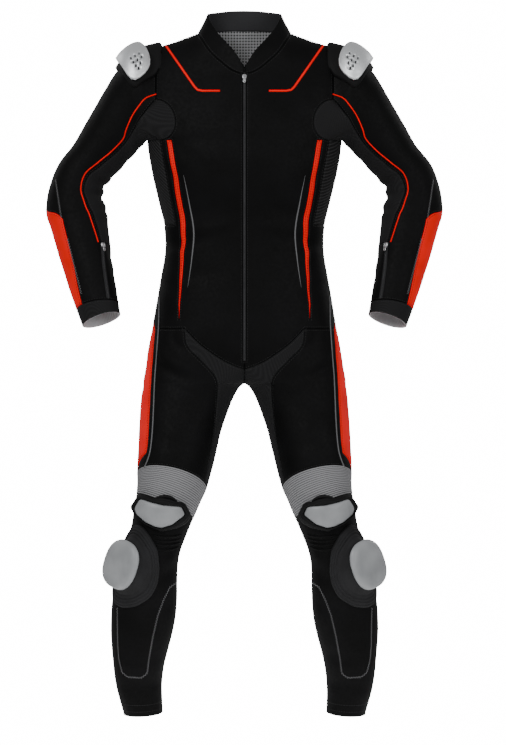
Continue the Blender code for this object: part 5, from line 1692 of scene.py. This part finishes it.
def end_tree(tree, geometry, material):
    """Makes what repeats real and gives it its material."""
    real_ones = add(tree, "GeometryNodeRealizeInstances", {"Geometry": geometry}).outputs[0]
    coloured = add(tree, "GeometryNodeSetMaterial", {"Geometry": real_ones, "Material": material})
    add(tree, "NodeGroupOutput", {"Geometry": coloured.outputs["Geometry"]})
    return tree


@lru_cache(maxsize=None)
def run_tree():
    """Repeats a small round body along lines that each have a way up."""
    tree, given = new_tree(
        "repeat_along_lines", ("Spacing", "Length", "Width", "Height", "Sideways")
    )
    curve = add(tree, "GeometryNodeMeshToCurve", {"Mesh": given["Geometry"]})
    spots = add(
        tree, "GeometryNodeResampleCurve",
        {"Curve": curve.outputs["Curve"], "Length": given["Spacing"]}, mode="LENGTH",
    )  # fmt: skip
    ball = add(tree, "GeometryNodeMeshUVSphere", {"Segments": 6, "Rings": 4, "Radius": 1.0})
    half = add(tree, "ShaderNodeCombineXYZ", {
        0: given["Length"], 1: given["Width"], 2: given["Height"],
    })  # fmt: skip
    size = add(tree, "ShaderNodeVectorMath", {0: half.outputs[0], "Scale": 0.5}, operation="SCALE")
    body = add(
        tree, "GeometryNodeTransform",
        {"Geometry": ball.outputs["Mesh"], "Scale": size.outputs[0]},
    )  # fmt: skip
    up = add(tree, "GeometryNodeInputNamedAttribute", {"Name": "up"}, data_type="FLOAT_VECTOR")
    turn = add(
        tree, "FunctionNodeAxesToRotation",
        {
            "Primary Axis": up.outputs["Attribute"],
            "Secondary Axis": add(tree, "GeometryNodeInputTangent").outputs[0],
        },
        primary_axis="Z", secondary_axis="X",
    )  # fmt: skip
    placed = add(
        tree, "GeometryNodeInstanceOnPoints",
        {
            "Points": spots.outputs["Curve"], "Instance": body.outputs["Geometry"],
            "Rotation": turn.outputs["Rotation"],
        },
    )  # fmt: skip
    odd = add(
        tree, "ShaderNodeMath", {0: add(tree, "GeometryNodeInputIndex").outputs[0], 1: 2.0},
        operation="MODULO",
    )  # fmt: skip
    away = add(tree, "ShaderNodeMath", {0: odd.outputs[0], 1: 0.5}, operation="SUBTRACT")
    far = add(
        tree, "ShaderNodeMath", {0: away.outputs[0], 1: given["Sideways"]}, operation="MULTIPLY"
    )
    shift = add(tree, "ShaderNodeCombineXYZ", {1: far.outputs[0]})
    moved = add(
        tree, "GeometryNodeTranslateInstances",
        {
            "Instances": placed.outputs["Instances"], "Translation": shift.outputs[0],
            "Local Space": True,
        },
    )  # fmt: skip
    return end_tree(tree, moved.outputs["Instances"], given["Material"])


@lru_cache(maxsize=None)
def thread_tree():
    """Lays a round thread along lines."""
    tree, given = new_tree("thread_along_lines", ("Radius",))
    curve = add(tree, "GeometryNodeMeshToCurve", {"Mesh": given["Geometry"]})
    ring = add(
        tree, "GeometryNodeCurvePrimitiveCircle", {"Resolution": 6, "Radius": given["Radius"]}
    )
    cord = add(
        tree, "GeometryNodeCurveToMesh",
        {
            "Curve": curve.outputs["Curve"], "Profile Curve": ring.outputs["Curve"],
            "Fill Caps": True,
        },
    )  # fmt: skip
    return end_tree(tree, cord.outputs["Mesh"], given["Material"])


def grown(name, tree, lines, side, values, finish):
    """Adds the piece that a node tree makes of lines of (point, way up)."""
    start = bpy.data.meshes.new(name)
    points, edges, ups = [], [], []
    turn = Vector((side, 1, 1))
    for line in lines:
        edges += [(len(points) + i, len(points) + i + 1) for i in range(len(line) - 1)]
        points += [place * turn * MM for place, _ in line]
        ups += [value for _, normal in line for value in normal * turn]
    start.from_pydata(points, edges, [])
    start.attributes.new("up", "FLOAT_VECTOR", "POINT").data.foreach_set("vector", ups)
    piece = bpy.data.objects.new(name, start)
    bpy.context.scene.collection.objects.link(piece)
    growth = piece.modifiers.new("growth", "NODES")
    growth.node_group = tree
    values = {**values, "Material": finish_of(finish)}
    for item in tree.interface.items_tree:
        if item.item_type == "SOCKET" and item.in_out == "INPUT" and item.name in values:
            growth[item.identifier] = values[item.name]
    made = evaluated(piece)
    bpy.data.objects.remove(piece)
    return link(name, made, finish)


def evaluated(piece):
    """A plain mesh of a piece with its modifiers carried out."""
    bpy.context.view_layer.update()
    graph = bpy.context.evaluated_depsgraph_get()
    return bpy.data.meshes.new_from_object(piece.evaluated_get(graph))


def seam_line(suit, side, grid, path):
    """The points of a seam, and their way out."""
    key = GRIDS[grid][1]
    steps = []
    for (row, column), (end_row, end_column) in zip(path, path[1:]):
        steps += [
            key(row * FINE + (end_row - row) * i, column * FINE + (end_column - column) * i)
            for i in range(FINE)
        ]
    steps.append(key(path[-1][0] * FINE, path[-1][1] * FINE))
    return [suit.at(side, k) for k in steps]


def beside_line(suit, side, line, away):
    """A line beside another on the suit, left of it where away is above zero."""
    found = []
    for place, _, beside in with_sides(line):
        spot, way = suit.laid(side, place + beside * away)
        if min((spot - other).length for other, _ in line) > abs(away) * 0.8:
            found.append((spot + way * 0.15, way))
    return found


def add_stitches(suit):
    sizes = bpy.context.scene.suit_sewing
    stitch = dict(
        Spacing=sizes.stitch + sizes.gap, Length=sizes.stitch, Width=sizes.thread * 1.25,
        Height=sizes.thread, Sideways=0.0,
    )  # fmt: skip
    away = sizes.beside / MM
    paths = [("trunk", path) for path in TRUNK_SEAMS[:-1]]
    paths += [("trunk", [(0, column) for column in range(12, LAST + 1)])]
    paths += [("sleeve", path) for path in SLEEVE_SEAMS]
    for end, side in SIDES:
        lines = []
        for grid, path in paths:
            line = seam_line(suit, side, grid, path)
            lines += [beside_line(suit, side, line, away), beside_line(suit, side, line, -away)]
        for row in (40.55, 40.81):
            hem = [trunk_point(row, LAST * i / 160) for i in range(161)]
            lines.append([suit.laid(side, place) for place in hem])
        lines = [line for line in lines if len(line) > 3]
        grown(f"stitches_{end}", run_tree(), lines, side, stitch, "black_thread")
        zigzags = [
            zigzag([suit.seen(side, p.x, p.y) for p in spaced([(x, z, 0) for x, z in path], 2.8)], 1.8)
            for path in (*ARM_THREAD, SHIN_THREAD)
        ]
        radius = {"Radius": sizes.thread * 0.8}
        grown(f"zigzag_thread_{end}", thread_tree(), zigzags, side, radius, "grey_thread")


def zigzag(line, reach):
    """A line that swings from side to side of another, lying on the suit."""
    found = []
    for i, (place, normal, beside) in enumerate(with_sides(line)):
        swing = reach if i % 2 else -reach
        found.append((place + beside * swing + normal * 0.35, normal))
    return found


# Shoulder guard: edges as (ring, column) of the sleeve, front half; the back half mirrors them.
SHOULDER_CUP = (
    (0.62, 0.0), (0.58, 0.47), (0.51, 1.03), (0.44, 1.50), (0.42, 1.93), (0.54, 2.23), (0.77, 2.60),
    (1.04, 2.78), (1.21, 2.76), (1.31, 2.48), (1.40, 2.04), (1.49, 1.58), (1.60, 1.05), (1.66, 0.50),
    (1.68, 0.0),
)  # fmt: skip
SHOULDER_PAD = (
    (-0.30, 0.0), (-0.31, 0.60), (-0.31, 1.13), (-0.30, 1.78), (-0.03, 2.30), (0.44, 2.69),
    (0.88, 2.96), (1.27, 2.94), (1.50, 2.58), (1.67, 1.90), (1.86, 1.0), (1.95, 0.50), (2.0, 0.0),
)  # fmt: skip
GUARD_MIDDLE = (0.9, 0.0)
CUP_LOW, CUP_THICK = 15.6, 4.5

# Vents in the cup, as (ring, column) of the sleeve.
CUP_VENTS = (
    (1.07, 1.66), (0.95, 1.60), (0.84, 1.47), (1.03, 1.91), (0.92, 1.83), (0.80, 1.67),
    (0.98, 2.11), (0.86, 2.00), (0.92, 2.25),
)  # fmt: skip
VENT_LENGTH, VENT_WIDTH = 7.4, 3.4

# Knee cup, seen from the front.
KNEE_MIDDLE = (172, -988)
KNEE_PLATE = (
    (214, -956), (195, -963), (167, -970), (129, -973), (121, -989), (147, -1009), (169, -1016),
    (184, -1013), (203, -1004), (222, -988), (226, -976),
)  # fmt: skip
KNEE_FRAME = (
    (217, -945), (186, -955), (169, -953), (152, -956), (134, -963), (121, -964), (107, -992),
    (117, -1007), (136, -1017), (171, -1024), (204, -1009), (226, -990), (231, -977), (230, -966),
)  # fmt: skip
PLATE_EASE = 1.03  # makes up for what rounding takes off the plate
KNEE_ARCH = ((188, -959), (176, -953.5), (162, -951.5), (149, -954), (138, -961))

# Knee slider: where its middle is, the outline of its base as (across, up), and the puck's half
# sizes across and up.
SLIDER_LEVEL, SLIDER_ANGLE = -1096, 44
SLIDER_BASE = (
    (0, 74), (-16, 72), (-36, 61), (-60, 42), (-71, 10), (-70, -22), (-58, -52), (-34, -76),
    (-4, -86), (22, -82), (42, -60), (53, -28), (55, 6), (48, 38), (26, 62), (12, 73),
)  # fmt: skip
SLIDER_PUCK = (48.5, 53)
SLIDER_LEAN = -0.14  # across, for each unit up
PUCK_FOOT, PUCK_TOP = 18, 38
LEG_RADIUS = 64.0  # of the leg where the slider lies
ROUND = 96  # points round a guard


def both_halves(half):
    return list(half) + [(ring, -column) for ring, column in reversed(half[1:-1])]


def guard_point(suit, side, at, low, high):
    """The underside and top of a shoulder guard over a (ring, column) of the sleeve."""
    place = sleeve_point(at.x, at.y)
    step = 0.05
    along = sleeve_point(at.x + step, at.y) - place
    normal = (sleeve_point(at.x, at.y + step) - place).cross(along).normalized()
    if normal.dot(place - Vector((150, 0, -150))) < 0:
        normal.negate()
    foot = suit.settled(side, place + normal * low, min(low, 0.4))
    return foot, place + normal * high, normal


def guard_slab(suit, side, outline, heights, low, count):
    """A slab over the shoulder. heights: (share of the way out, height of its top)."""
    middle = Vector(GUARD_MIDDLE)
    spots = softened([Vector(p) for p in around(both_halves(outline), GUARD_MIDDLE, count)], 2)

    def pair(at, height):
        foot, top, _ = guard_point(suit, side, at, low, height)
        return foot, top

    rings = [
        [pair(middle + (spot - middle) * share, height) for spot in spots]
        for share, height in heights[1:]
    ]
    return two_skins(pair(middle, heights[0][1]), rings)


def add_shoulders(suit):
    steps = [i / 28 for i in range(29)]
    pad_rise = ((0.0, 9.8), (0.55, 9.8), (0.8, 9.3), (0.92, 8.2), (0.98, 6.2), (1.0, 2.2))
    cup_rise = (
        (0.0, 3.4), (0.35, 3.0), (0.7, 2.2), (0.86, 1.0), (0.93, 0.2), (0.955, 0.5), (0.985, 0.1),
        (1.0, -1.6),
    )  # fmt: skip
    for end, side in SIDES:
        heights = [
            (s, straight(pad_rise, s) - 0.5 * math.cos(2 * math.pi * s * 9.5) ** 8 * (s > 0.3))
            for s in steps
        ]
        made = guard_slab(suit, side, SHOULDER_PAD, heights, 0.6, ROUND)
        pad = solid(f"shoulder_pad_{end}", made, "black_moulded_rubber", side)
        rims = (0.955, 0.97, 0.985, 0.995, 1.0)
        heights = [
            (s, CUP_LOW + CUP_THICK + straight(cup_rise, s)) for s in (*steps[:26], 0.93, *rims)
        ]
        made = guard_slab(suit, side, SHOULDER_CUP, heights, CUP_LOW, ROUND)
        cup = solid(f"shoulder_cup_{end}", made, "brushed_aluminium", side)
        cut_vents(cup, suit, side)


def cut_vents(cup, suit, side):
    """Cuts the vents right through a shoulder cup."""
    parts = []
    for ring, column in CUP_VENTS:
        foot, top, normal = guard_point(suit, side, Vector((ring, column)), 11, 26)
        along = (sleeve_point(ring, column + 0.1) - sleeve_point(ring, column - 0.1)).normalized()
        beside = normal.cross(along).normalized()
        outline = []
        for i in range(16):
            turn = 2 * math.pi * i / 16
            straight_part = math.copysign((VENT_LENGTH - VENT_WIDTH) / 2, math.cos(turn))
            outline.append(
                along * (straight_part + math.cos(turn) * VENT_WIDTH / 2)
                + beside * (math.sin(turn) * VENT_WIDTH / 2)
            )
        low = [foot + spot for spot in outline]
        high = [top + spot for spot in outline]
        faces = [(j, (j + 1) % 16, 16 + (j + 1) % 16, 16 + j) for j in range(16)]
        faces += [tuple(reversed(range(16))), tuple(range(16, 32))]
        parts.append((low + high, faces))
    cutter = bpy.data.objects.new("vents", to_mesh("vents", *join_parts(parts), side))
    bpy.context.scene.collection.objects.link(cutter)
    cut = cup.modifiers.new("vents", "BOOLEAN")
    cut.operation = "DIFFERENCE"
    cut.solver = "EXACT"
    cut.object = cutter
    mesh = evaluated(cup)
    cup.modifiers.clear()
    if len(mesh.polygons) <= len(cup.data.polygons):
        raise RuntimeError("the vents weren't cut")
    cup.data = mesh
    bpy.data.objects.remove(cutter)


def front_of(x, z):
    """The point of the leg's smooth front that is seen at (x, z)."""
    level = z
    for _ in range(8):
        place = section_at(level).point(x, False)
        level += z - place.z
    return place


def knee_under(x, z, lift):
    """The point of the leg's front, and its way out, that a lift brings to (x, z)."""
    aim = Vector((x, z))
    for _ in range(6):
        level = min(max(aim.y, -1080), -900)
        section = Section(level)
        held = min(max(aim.x, section.inner + 1.5), section.out - 1.5)
        place = front_of(held, level)
        step = front_of(held + 1.0, level) - place
        rise = front_of(held, level + 1.0) - place
        normal = step.cross(rise).normalized()
        seen = place + normal * lift
        aim += Vector((x - seen.x, z - seen.z)) * 0.7
    return place, normal


def knee_ring(suit, side, spots, low, high, lift):
    found = []
    for spot in spots:
        place, normal = knee_under(spot.x, spot.y, lift)
        found.append((suit.settled(side, place + normal * low, low), place + normal * high))
    return found


def add_knee_cups(suit):
    middle = Vector(KNEE_MIDDLE)
    plate = [
        middle + (spot - middle) * PLATE_EASE
        for spot in softened(around(KNEE_PLATE, KNEE_MIDDLE, ROUND), 1)
    ]
    frame_edge = softened(around(KNEE_FRAME, KNEE_MIDDLE, ROUND), 1)

    def scaled(outline, share):
        return [middle + (spot - middle) * share for spot in outline]

    local = [(a - middle, b - middle) for a, b in zip(plate, frame_edge)]
    # share of the way: up to 1 within the plate, then from its edge to the frame's
    tray_rise = (
        (0.4, 7.0, 10), (0.8, 6.5, 10), (0.99, 6.4, 10), (1.03, 12.0, 12), (1.10, 13.9, 12),
        (1.3, 14.3, 12), (1.5, 13.6, 12), (1.62, 12.4, 12), (1.66, 11.4, 12), (1.72, 11.6, 12),
        (1.86, 10.4, 11), (1.95, 8.6, 9), (2.0, 5.0, 8),
    )  # fmt: skip
    lens_rise = (
        (0.0, 16.5, 14), (0.2, 16.4, 14), (0.4, 16.2, 14), (0.6, 15.6, 14), (0.75, 14.8, 14),
        (0.86, 14.0, 14), (0.93, 13.0, 13), (0.97, 11.6, 12), (0.99, 9.4, 12),
    )  # fmt: skip
    for end, side in SIDES:
        rings = []
        for share, high, lift in tray_rise:
            spots = (
                scaled(plate, share)
                if share <= 1.03
                else [middle + a * 1.04 + (b - a * 1.04) * (share - 1) for a, b in local]
            )
            rings.append(knee_ring(suit, side, spots, 0.5, high, lift))
        place, normal = knee_under(*KNEE_MIDDLE, 10)
        tray = two_skins(
            (suit.settled(side, place + normal * 0.5, 0.5), place + normal * 7.0), rings
        )
        arch = []
        for spot in rounded([(x, z, 0) for x, z in KNEE_ARCH], 3):
            place, normal = knee_under(spot.x, spot.y, 8)
            arch.append((place + normal * 3, normal))
        widths = [7.0 * math.sin(math.pi * (i + 1) / (len(arch) + 1)) ** 0.4 for i in range(len(arch))]
        parts = join_parts([tray, band(arch, widths, 6.0)])
        solid(f"knee_frame_{end}", parts, "black_moulded_rubber", side)
        rings = [
            knee_ring(suit, side, scaled(plate, share), 7.4, high, lift)
            for share, high, lift in lens_rise[1:]
        ]
        place, normal = knee_under(*KNEE_MIDDLE, 14)
        lens = two_skins((place + normal * 7.4, place + normal * 16.5), rings)
        solid(f"knee_plate_{end}", lens, "grey_moulded_nylon", side)
        folds = []
        for z, start, stop, sag in KNEE_FOLDS:
            line = []
            for i in range(25):
                t = i / 24
                x = start + (stop - start) * t
                line.append(suit.seen(side, x, z - sag * (1 - (2 * t - 1) ** 2)))
            widths = [5.2 * math.sin(math.pi * (i + 0.7) / 25.4) ** 0.5 for i in range(25)]
            folds.append(band(line, widths, 1.7))
        mesh = to_mesh(f"knee_folds_{end}", *join_parts(folds), side)
        link(f"knee_folds_{end}", mesh, "black_cowhide")


def leg_point(level, angle):
    """A point of the leg at an angle round it from the front, positive outwards."""
    section = section_at(level)
    share = math.sin(math.radians(angle))
    share = math.copysign(abs(share) ** (2 / section.power), share)
    return section.point(section.centre + section.half * share, abs(angle) > 90)


def oval(half_across, half_up, count, power):
    """Points round a squared oval, as (across, up)."""
    found = []
    for i in range(count):
        turn = 2 * math.pi * i / count
        c, s = math.cos(turn), math.sin(turn)
        found.append(
            (
                half_across * math.copysign(abs(c) ** (2 / power), c),
                half_up * math.copysign(abs(s) ** (2 / power), s),
            )
        )
    return found


def add_knee_sliders(suit):
    origin = leg_point(SLIDER_LEVEL, SLIDER_ANGLE)
    up = leg_point(SLIDER_LEVEL + 20, SLIDER_ANGLE) - leg_point(SLIDER_LEVEL - 20, SLIDER_ANGLE)
    up.normalize()
    normal = leg_point(SLIDER_LEVEL, SLIDER_ANGLE + 5) - leg_point(SLIDER_LEVEL, SLIDER_ANGLE - 5)
    normal = normal.cross(up).normalized()
    if normal.y > 0:
        normal.negate()
    beside = normal.cross(up)
    if beside.x < 0:
        beside.negate()

    def on_leg(side, across_it, rise, low, high):
        place = leg_point(SLIDER_LEVEL + rise, SLIDER_ANGLE + math.degrees(across_it / LEG_RADIUS))
        way = suit.laid(side, place)[1]
        foot = suit.settled(side, place, low)
        return foot, foot + way * high

    def on_plane(across_it, rise, height):
        return origin + beside * across_it + up * rise + normal * height

    outline = softened([Vector(p) for p in around(SLIDER_BASE, (0, 0), ROUND)], 3)
    edge = ((0.76, 7.4), (0.88, 7.0), (0.95, 6.0), (0.985, 4.0), (1.0, 1.0))
    drop = (
        (0.0, 0.0), (0.3, 0.15), (0.5, 0.6), (0.65, 1.3), (0.78, 2.6), (0.87, 4.3), (0.93, 6.4),
        (0.97, 9.0), (0.99, 11.5), (1.0, 14.0),
    )  # fmt: skip
    leaning = [(x + z * SLIDER_LEAN, z) for x, z in oval(*SLIDER_PUCK, ROUND, 2.5)]
    for end, side in SIDES:
        rings = []
        for share in [0.3, 0.5] + [0.56 + 0.44 * i / 36 for i in range(37)]:
            ring = []
            for across_it, rise in outline:
                x, z = across_it * share, rise * share
                t = (share - 0.56) / 0.44
                ridge = 1.5 * abs(math.sin(math.pi * 6 * t)) ** 0.7 - 0.8 if 0.2 < t < 0.97 else 0.0
                low, high = on_leg(side, x, z, 0.4, straight(edge, share) + ridge)
                if share < 0.76:
                    top = on_plane(x, z, PUCK_FOOT)
                    blend = ease((share - 0.56) / 0.2)
                    high = top.lerp(high, blend) if share > 0.56 else top
                ring.append((low, high))
            rings.append(ring)
        centre = (on_leg(side, 0, 0, 0.4, 0)[0], on_plane(0, 0, PUCK_FOOT))
        base = two_skins(centre, rings)
        solid(f"slider_base_{end}", base, "ridged_slider_rubber", side)
        rings = [
            [
                (
                    on_plane(x * share * 0.9, z * share * 0.9, PUCK_FOOT - 0.5),
                    on_plane(x * share, z * share, PUCK_TOP - down),
                )
                for x, z in leaning
            ]
            for share, down in drop[1:]
        ]
        puck = two_skins((on_plane(0, 0, PUCK_FOOT - 0.5), on_plane(0, 0, PUCK_TOP)), rings)
        solid(f"slider_puck_{end}", puck, "grey_moulded_nylon", side)


def length(name, about, default):
    return FloatProperty(
        name=name, description=about, default=default, min=0.0, subtype="DISTANCE", unit="LENGTH"
    )


def colour(name, about, hex_colour):
    return FloatVectorProperty(
        name=name, description=about, default=linear(hex_colour)[:3], subtype="COLOR", min=0, max=1
    )


class SuitFinish(bpy.types.PropertyGroup):
    """Colours of the suit, and the sizes of its cloths' patterns."""

    leather: colour("Leather", "Colour of the main leather", "#040404")
    red: colour("Second leather", "Colour of the stripes and side panels", "#FF0000")
    stretch: colour("Stretch cloth", "Colour of the stretch panels", "#222223")
    ribs: colour("Knee ribs", "Colour of the ribbed cloth over the knees", "#8C8C8E")
    lining: colour("Lining", "Colour of the mesh behind the neck", "#B8B8BA")
    tape: colour("Zip tape", "Colour of the zips' tape", "#333335")
    metal: colour("Shoulder cups", "Colour of the brushed metal", "#EDEFF1")
    plastic: colour("Sliders", "Colour of the knee sliders and plates", "#97999B")
    side_rib: length("Side ribs", "Pitch of the ribbed cloth at the waist", 0.006)
    mesh_pitch: length("Mesh", "Pitch of the holes in the lining", 0.006)


class SuitSewing(bpy.types.PropertyGroup):
    """Sizes of the stitching and of the knee ribs."""

    stitch: length("Stitch", "Length of a stitch that shows", 0.0038)
    gap: length("Gap", "Space between two stitches", 0.0015)
    thread: length("Thread", "Thickness of the thread", 0.0008)
    beside: length("Distance", "Distance of a row of stitches from its seam", 0.0034)
    rib_height: length("Rib height", "Height of the ribs over the knees", 0.0014)


class SuitZips(bpy.types.PropertyGroup):
    """Sizes of the zips."""

    pitch: length("Coil pitch", "Distance between the turns of a zip's coil", 0.0016)


class SuitStage(bpy.types.PropertyGroup):
    """The floor, the light and the camera."""

    floor: FloatProperty(
        name="Floor", description="Height of the floor", default=-1.55, subtype="DISTANCE",
        unit="LENGTH",
    )  # fmt: skip
    glow: FloatProperty(name="Floor glow", description="Light of the floor", default=0.8, min=0)
    sky: FloatProperty(name="Sky", description="Light from all around", default=0.4, min=0)
    backdrop: FloatProperty(
        name="Backdrop", description="Brightness of the backdrop", default=16.0, min=0
    )
    distance: length("Camera distance", "Distance of the camera from the suit", 21.28)
    lens: FloatProperty(
        name="Lens", description="Focal length of the camera", default=500.0, min=20.0,
        unit="CAMERA",
    )  # fmt: skip


class SUIT_OT_panels(bpy.types.Operator):
    """Builds the sheets of leather and stretch cloth, and the ribbed cloth over the knees"""

    bl_idname = "suit.panels"
    bl_label = "Panels"

    def execute(self, context):
        add_panels(suit_of())
        add_knee_ribs()
        return {"FINISHED"}


class SUIT_OT_linings(bpy.types.Operator):
    """Builds the linings that show at the neck and the cuffs"""

    bl_idname = "suit.linings"
    bl_label = "Linings"

    def execute(self, context):
        add_linings(suit_of())
        return {"FINISHED"}


class SUIT_OT_piping(bpy.types.Operator):
    """Lays the stripes and the piping on the panels"""

    bl_idname = "suit.piping"
    bl_label = "Piping"

    def execute(self, context):
        add_piping(suit_of())
        return {"FINISHED"}


class SUIT_OT_shoulders(bpy.types.Operator):
    """Builds the shoulders' pads and their metal cups"""

    bl_idname = "suit.shoulders"
    bl_label = "Shoulder guards"

    def execute(self, context):
        add_shoulders(suit_of())
        return {"FINISHED"}


class SUIT_OT_knees(bpy.types.Operator):
    """Builds the knee cups and the knee sliders"""

    bl_idname = "suit.knees"
    bl_label = "Knee guards"

    def execute(self, context):
        add_knee_cups(suit_of())
        add_knee_sliders(suit_of())
        return {"FINISHED"}


class SUIT_OT_zips(bpy.types.Operator):
    """Builds the zips with their coils, sliders and pulls"""

    bl_idname = "suit.zips"
    bl_label = "Zips"

    def execute(self, context):
        add_zips(suit_of())
        return {"FINISHED"}


class SUIT_OT_stitches(bpy.types.Operator):
    """Sews the rows of stitches beside the seams, and the zigzag threads"""

    bl_idname = "suit.stitches"
    bl_label = "Stitches"

    def execute(self, context):
        add_stitches(suit_of())
        return {"FINISHED"}


class SUIT_OT_stage(bpy.types.Operator):
    """Sets up the floor, the light and the camera"""

    bl_idname = "suit.stage"
    bl_label = "Stage"

    def execute(self, context):
        add_stage(context.scene.suit_stage)
        return {"FINISHED"}


def add_light(name, place, target, size, power):
    data = bpy.data.lights.new(name, "AREA")
    data.shape = "DISK"
    data.size = size
    data.energy = power
    lamp = bpy.data.objects.new(name, data)
    lamp.location = place
    lamp.rotation_euler = (Vector(target) - Vector(place)).to_track_quat("-Z", "Y").to_euler()
    bpy.context.scene.collection.objects.link(lamp)


def add_stage(sizes):
    # A round floor of white opal glass, lit evenly from below.
    glass, _, shader, _ = start_material("white_opal_floor", 0.9, specular=0.1)
    shader.inputs["Base Color"].default_value = linear("#F4F4F4")
    shader.inputs["Emission Color"].default_value = linear("#FFFFFF")
    shader.inputs["Emission Strength"].default_value = sizes.glow
    count = 96
    rim = [
        (0.9 * math.cos(2 * math.pi * i / count), 0.9 * math.sin(2 * math.pi * i / count))
        for i in range(count)
    ]
    mesh = bpy.data.meshes.new("floor")
    mesh.from_pydata([(x, y, sizes.floor) for x, y in rim], [], [tuple(range(count))])
    mesh.materials.append(glass)
    floor = bpy.data.objects.new("floor", mesh)
    bpy.context.scene.collection.objects.link(floor)
    world = bpy.data.worlds.new("studio")
    world.use_nodes = True
    tree = world.node_tree
    around_it = tree.nodes["Background"]
    around_it.inputs["Color"].default_value = linear("#FFFFFF")
    around_it.inputs["Strength"].default_value = sizes.sky
    behind = add(
        tree, "ShaderNodeBackground", {"Color": linear("#FFFFFF"), "Strength": sizes.backdrop}
    )
    straight_on = add(tree, "ShaderNodeLightPath").outputs["Is Camera Ray"]
    both = add(
        tree, "ShaderNodeMixShader", {0: straight_on, 1: around_it.outputs[0], 2: behind.outputs[0]}
    )
    tree.links.new(both.outputs[0], tree.nodes["World Output"].inputs["Surface"])
    bpy.context.scene.world = world
    target = (0.0, 0.0, -0.7)
    add_light("key", (-2.4, -4.2, 2.0), target, 2.4, 150)
    add_light("fill", (3.2, -4.0, 0.6), target, 3.0, 90)
    add_light("back_left", (-2.6, 2.4, 1.0), target, 1.6, 14)
    add_light("back_right", (2.6, 2.4, 0.8), target, 1.6, 14)
    data = bpy.data.cameras.new("camera")
    data.lens = sizes.lens
    data.sensor_fit = "VERTICAL"
    data.sensor_height = 36.0
    data.clip_end = 120.0
    camera = bpy.data.objects.new("camera", data)
    camera.location = (0.0175, -sizes.distance, -0.698)
    camera.rotation_euler = (math.pi / 2, 0, 0)
    bpy.context.scene.collection.objects.link(camera)
    bpy.context.scene.camera = camera


STEPS_IN_ORDER = (
    SUIT_OT_panels,
    SUIT_OT_linings,
    SUIT_OT_piping,
    SUIT_OT_shoulders,
    SUIT_OT_knees,
    SUIT_OT_zips,
    SUIT_OT_stitches,
    SUIT_OT_stage,
)
GROUPS = {
    "suit_finish": SuitFinish,
    "suit_sewing": SuitSewing,
    "suit_zips": SuitZips,
    "suit_stage": SuitStage,
}


class SUIT_PT_panel(bpy.types.Panel):
    """Lists the suit's sizes and its steps"""

    bl_label = "Race Suit"
    bl_space_type = "VIEW_3D"
    bl_region_type = "UI"
    bl_category = "Race Suit"

    def draw(self, context):
        for step in STEPS_IN_ORDER:
            self.layout.operator(step.bl_idname)
        for attribute, group in GROUPS.items():
            box = self.layout.box()
            for name in group.__annotations__:
                box.prop(getattr(context.scene, attribute), name)


def register():
    for group in GROUPS.values():
        bpy.utils.register_class(group)
    for step in (*STEPS_IN_ORDER, SUIT_PT_panel):
        bpy.utils.register_class(step)
    for attribute, group in GROUPS.items():
        setattr(bpy.types.Scene, attribute, PointerProperty(type=group))


def unregister():
    for attribute in GROUPS:
        delattr(bpy.types.Scene, attribute)
    for known in (SUIT_PT_panel, *reversed(STEPS_IN_ORDER), *GROUPS.values()):
        bpy.utils.unregister_class(known)


def main():
    register()
    for step in STEPS_IN_ORDER:
        area, name = step.bl_idname.split(".")
        getattr(getattr(bpy.ops, area), name)()
    bpy.context.view_layer.update()


if __name__ == "__main__":
    main()
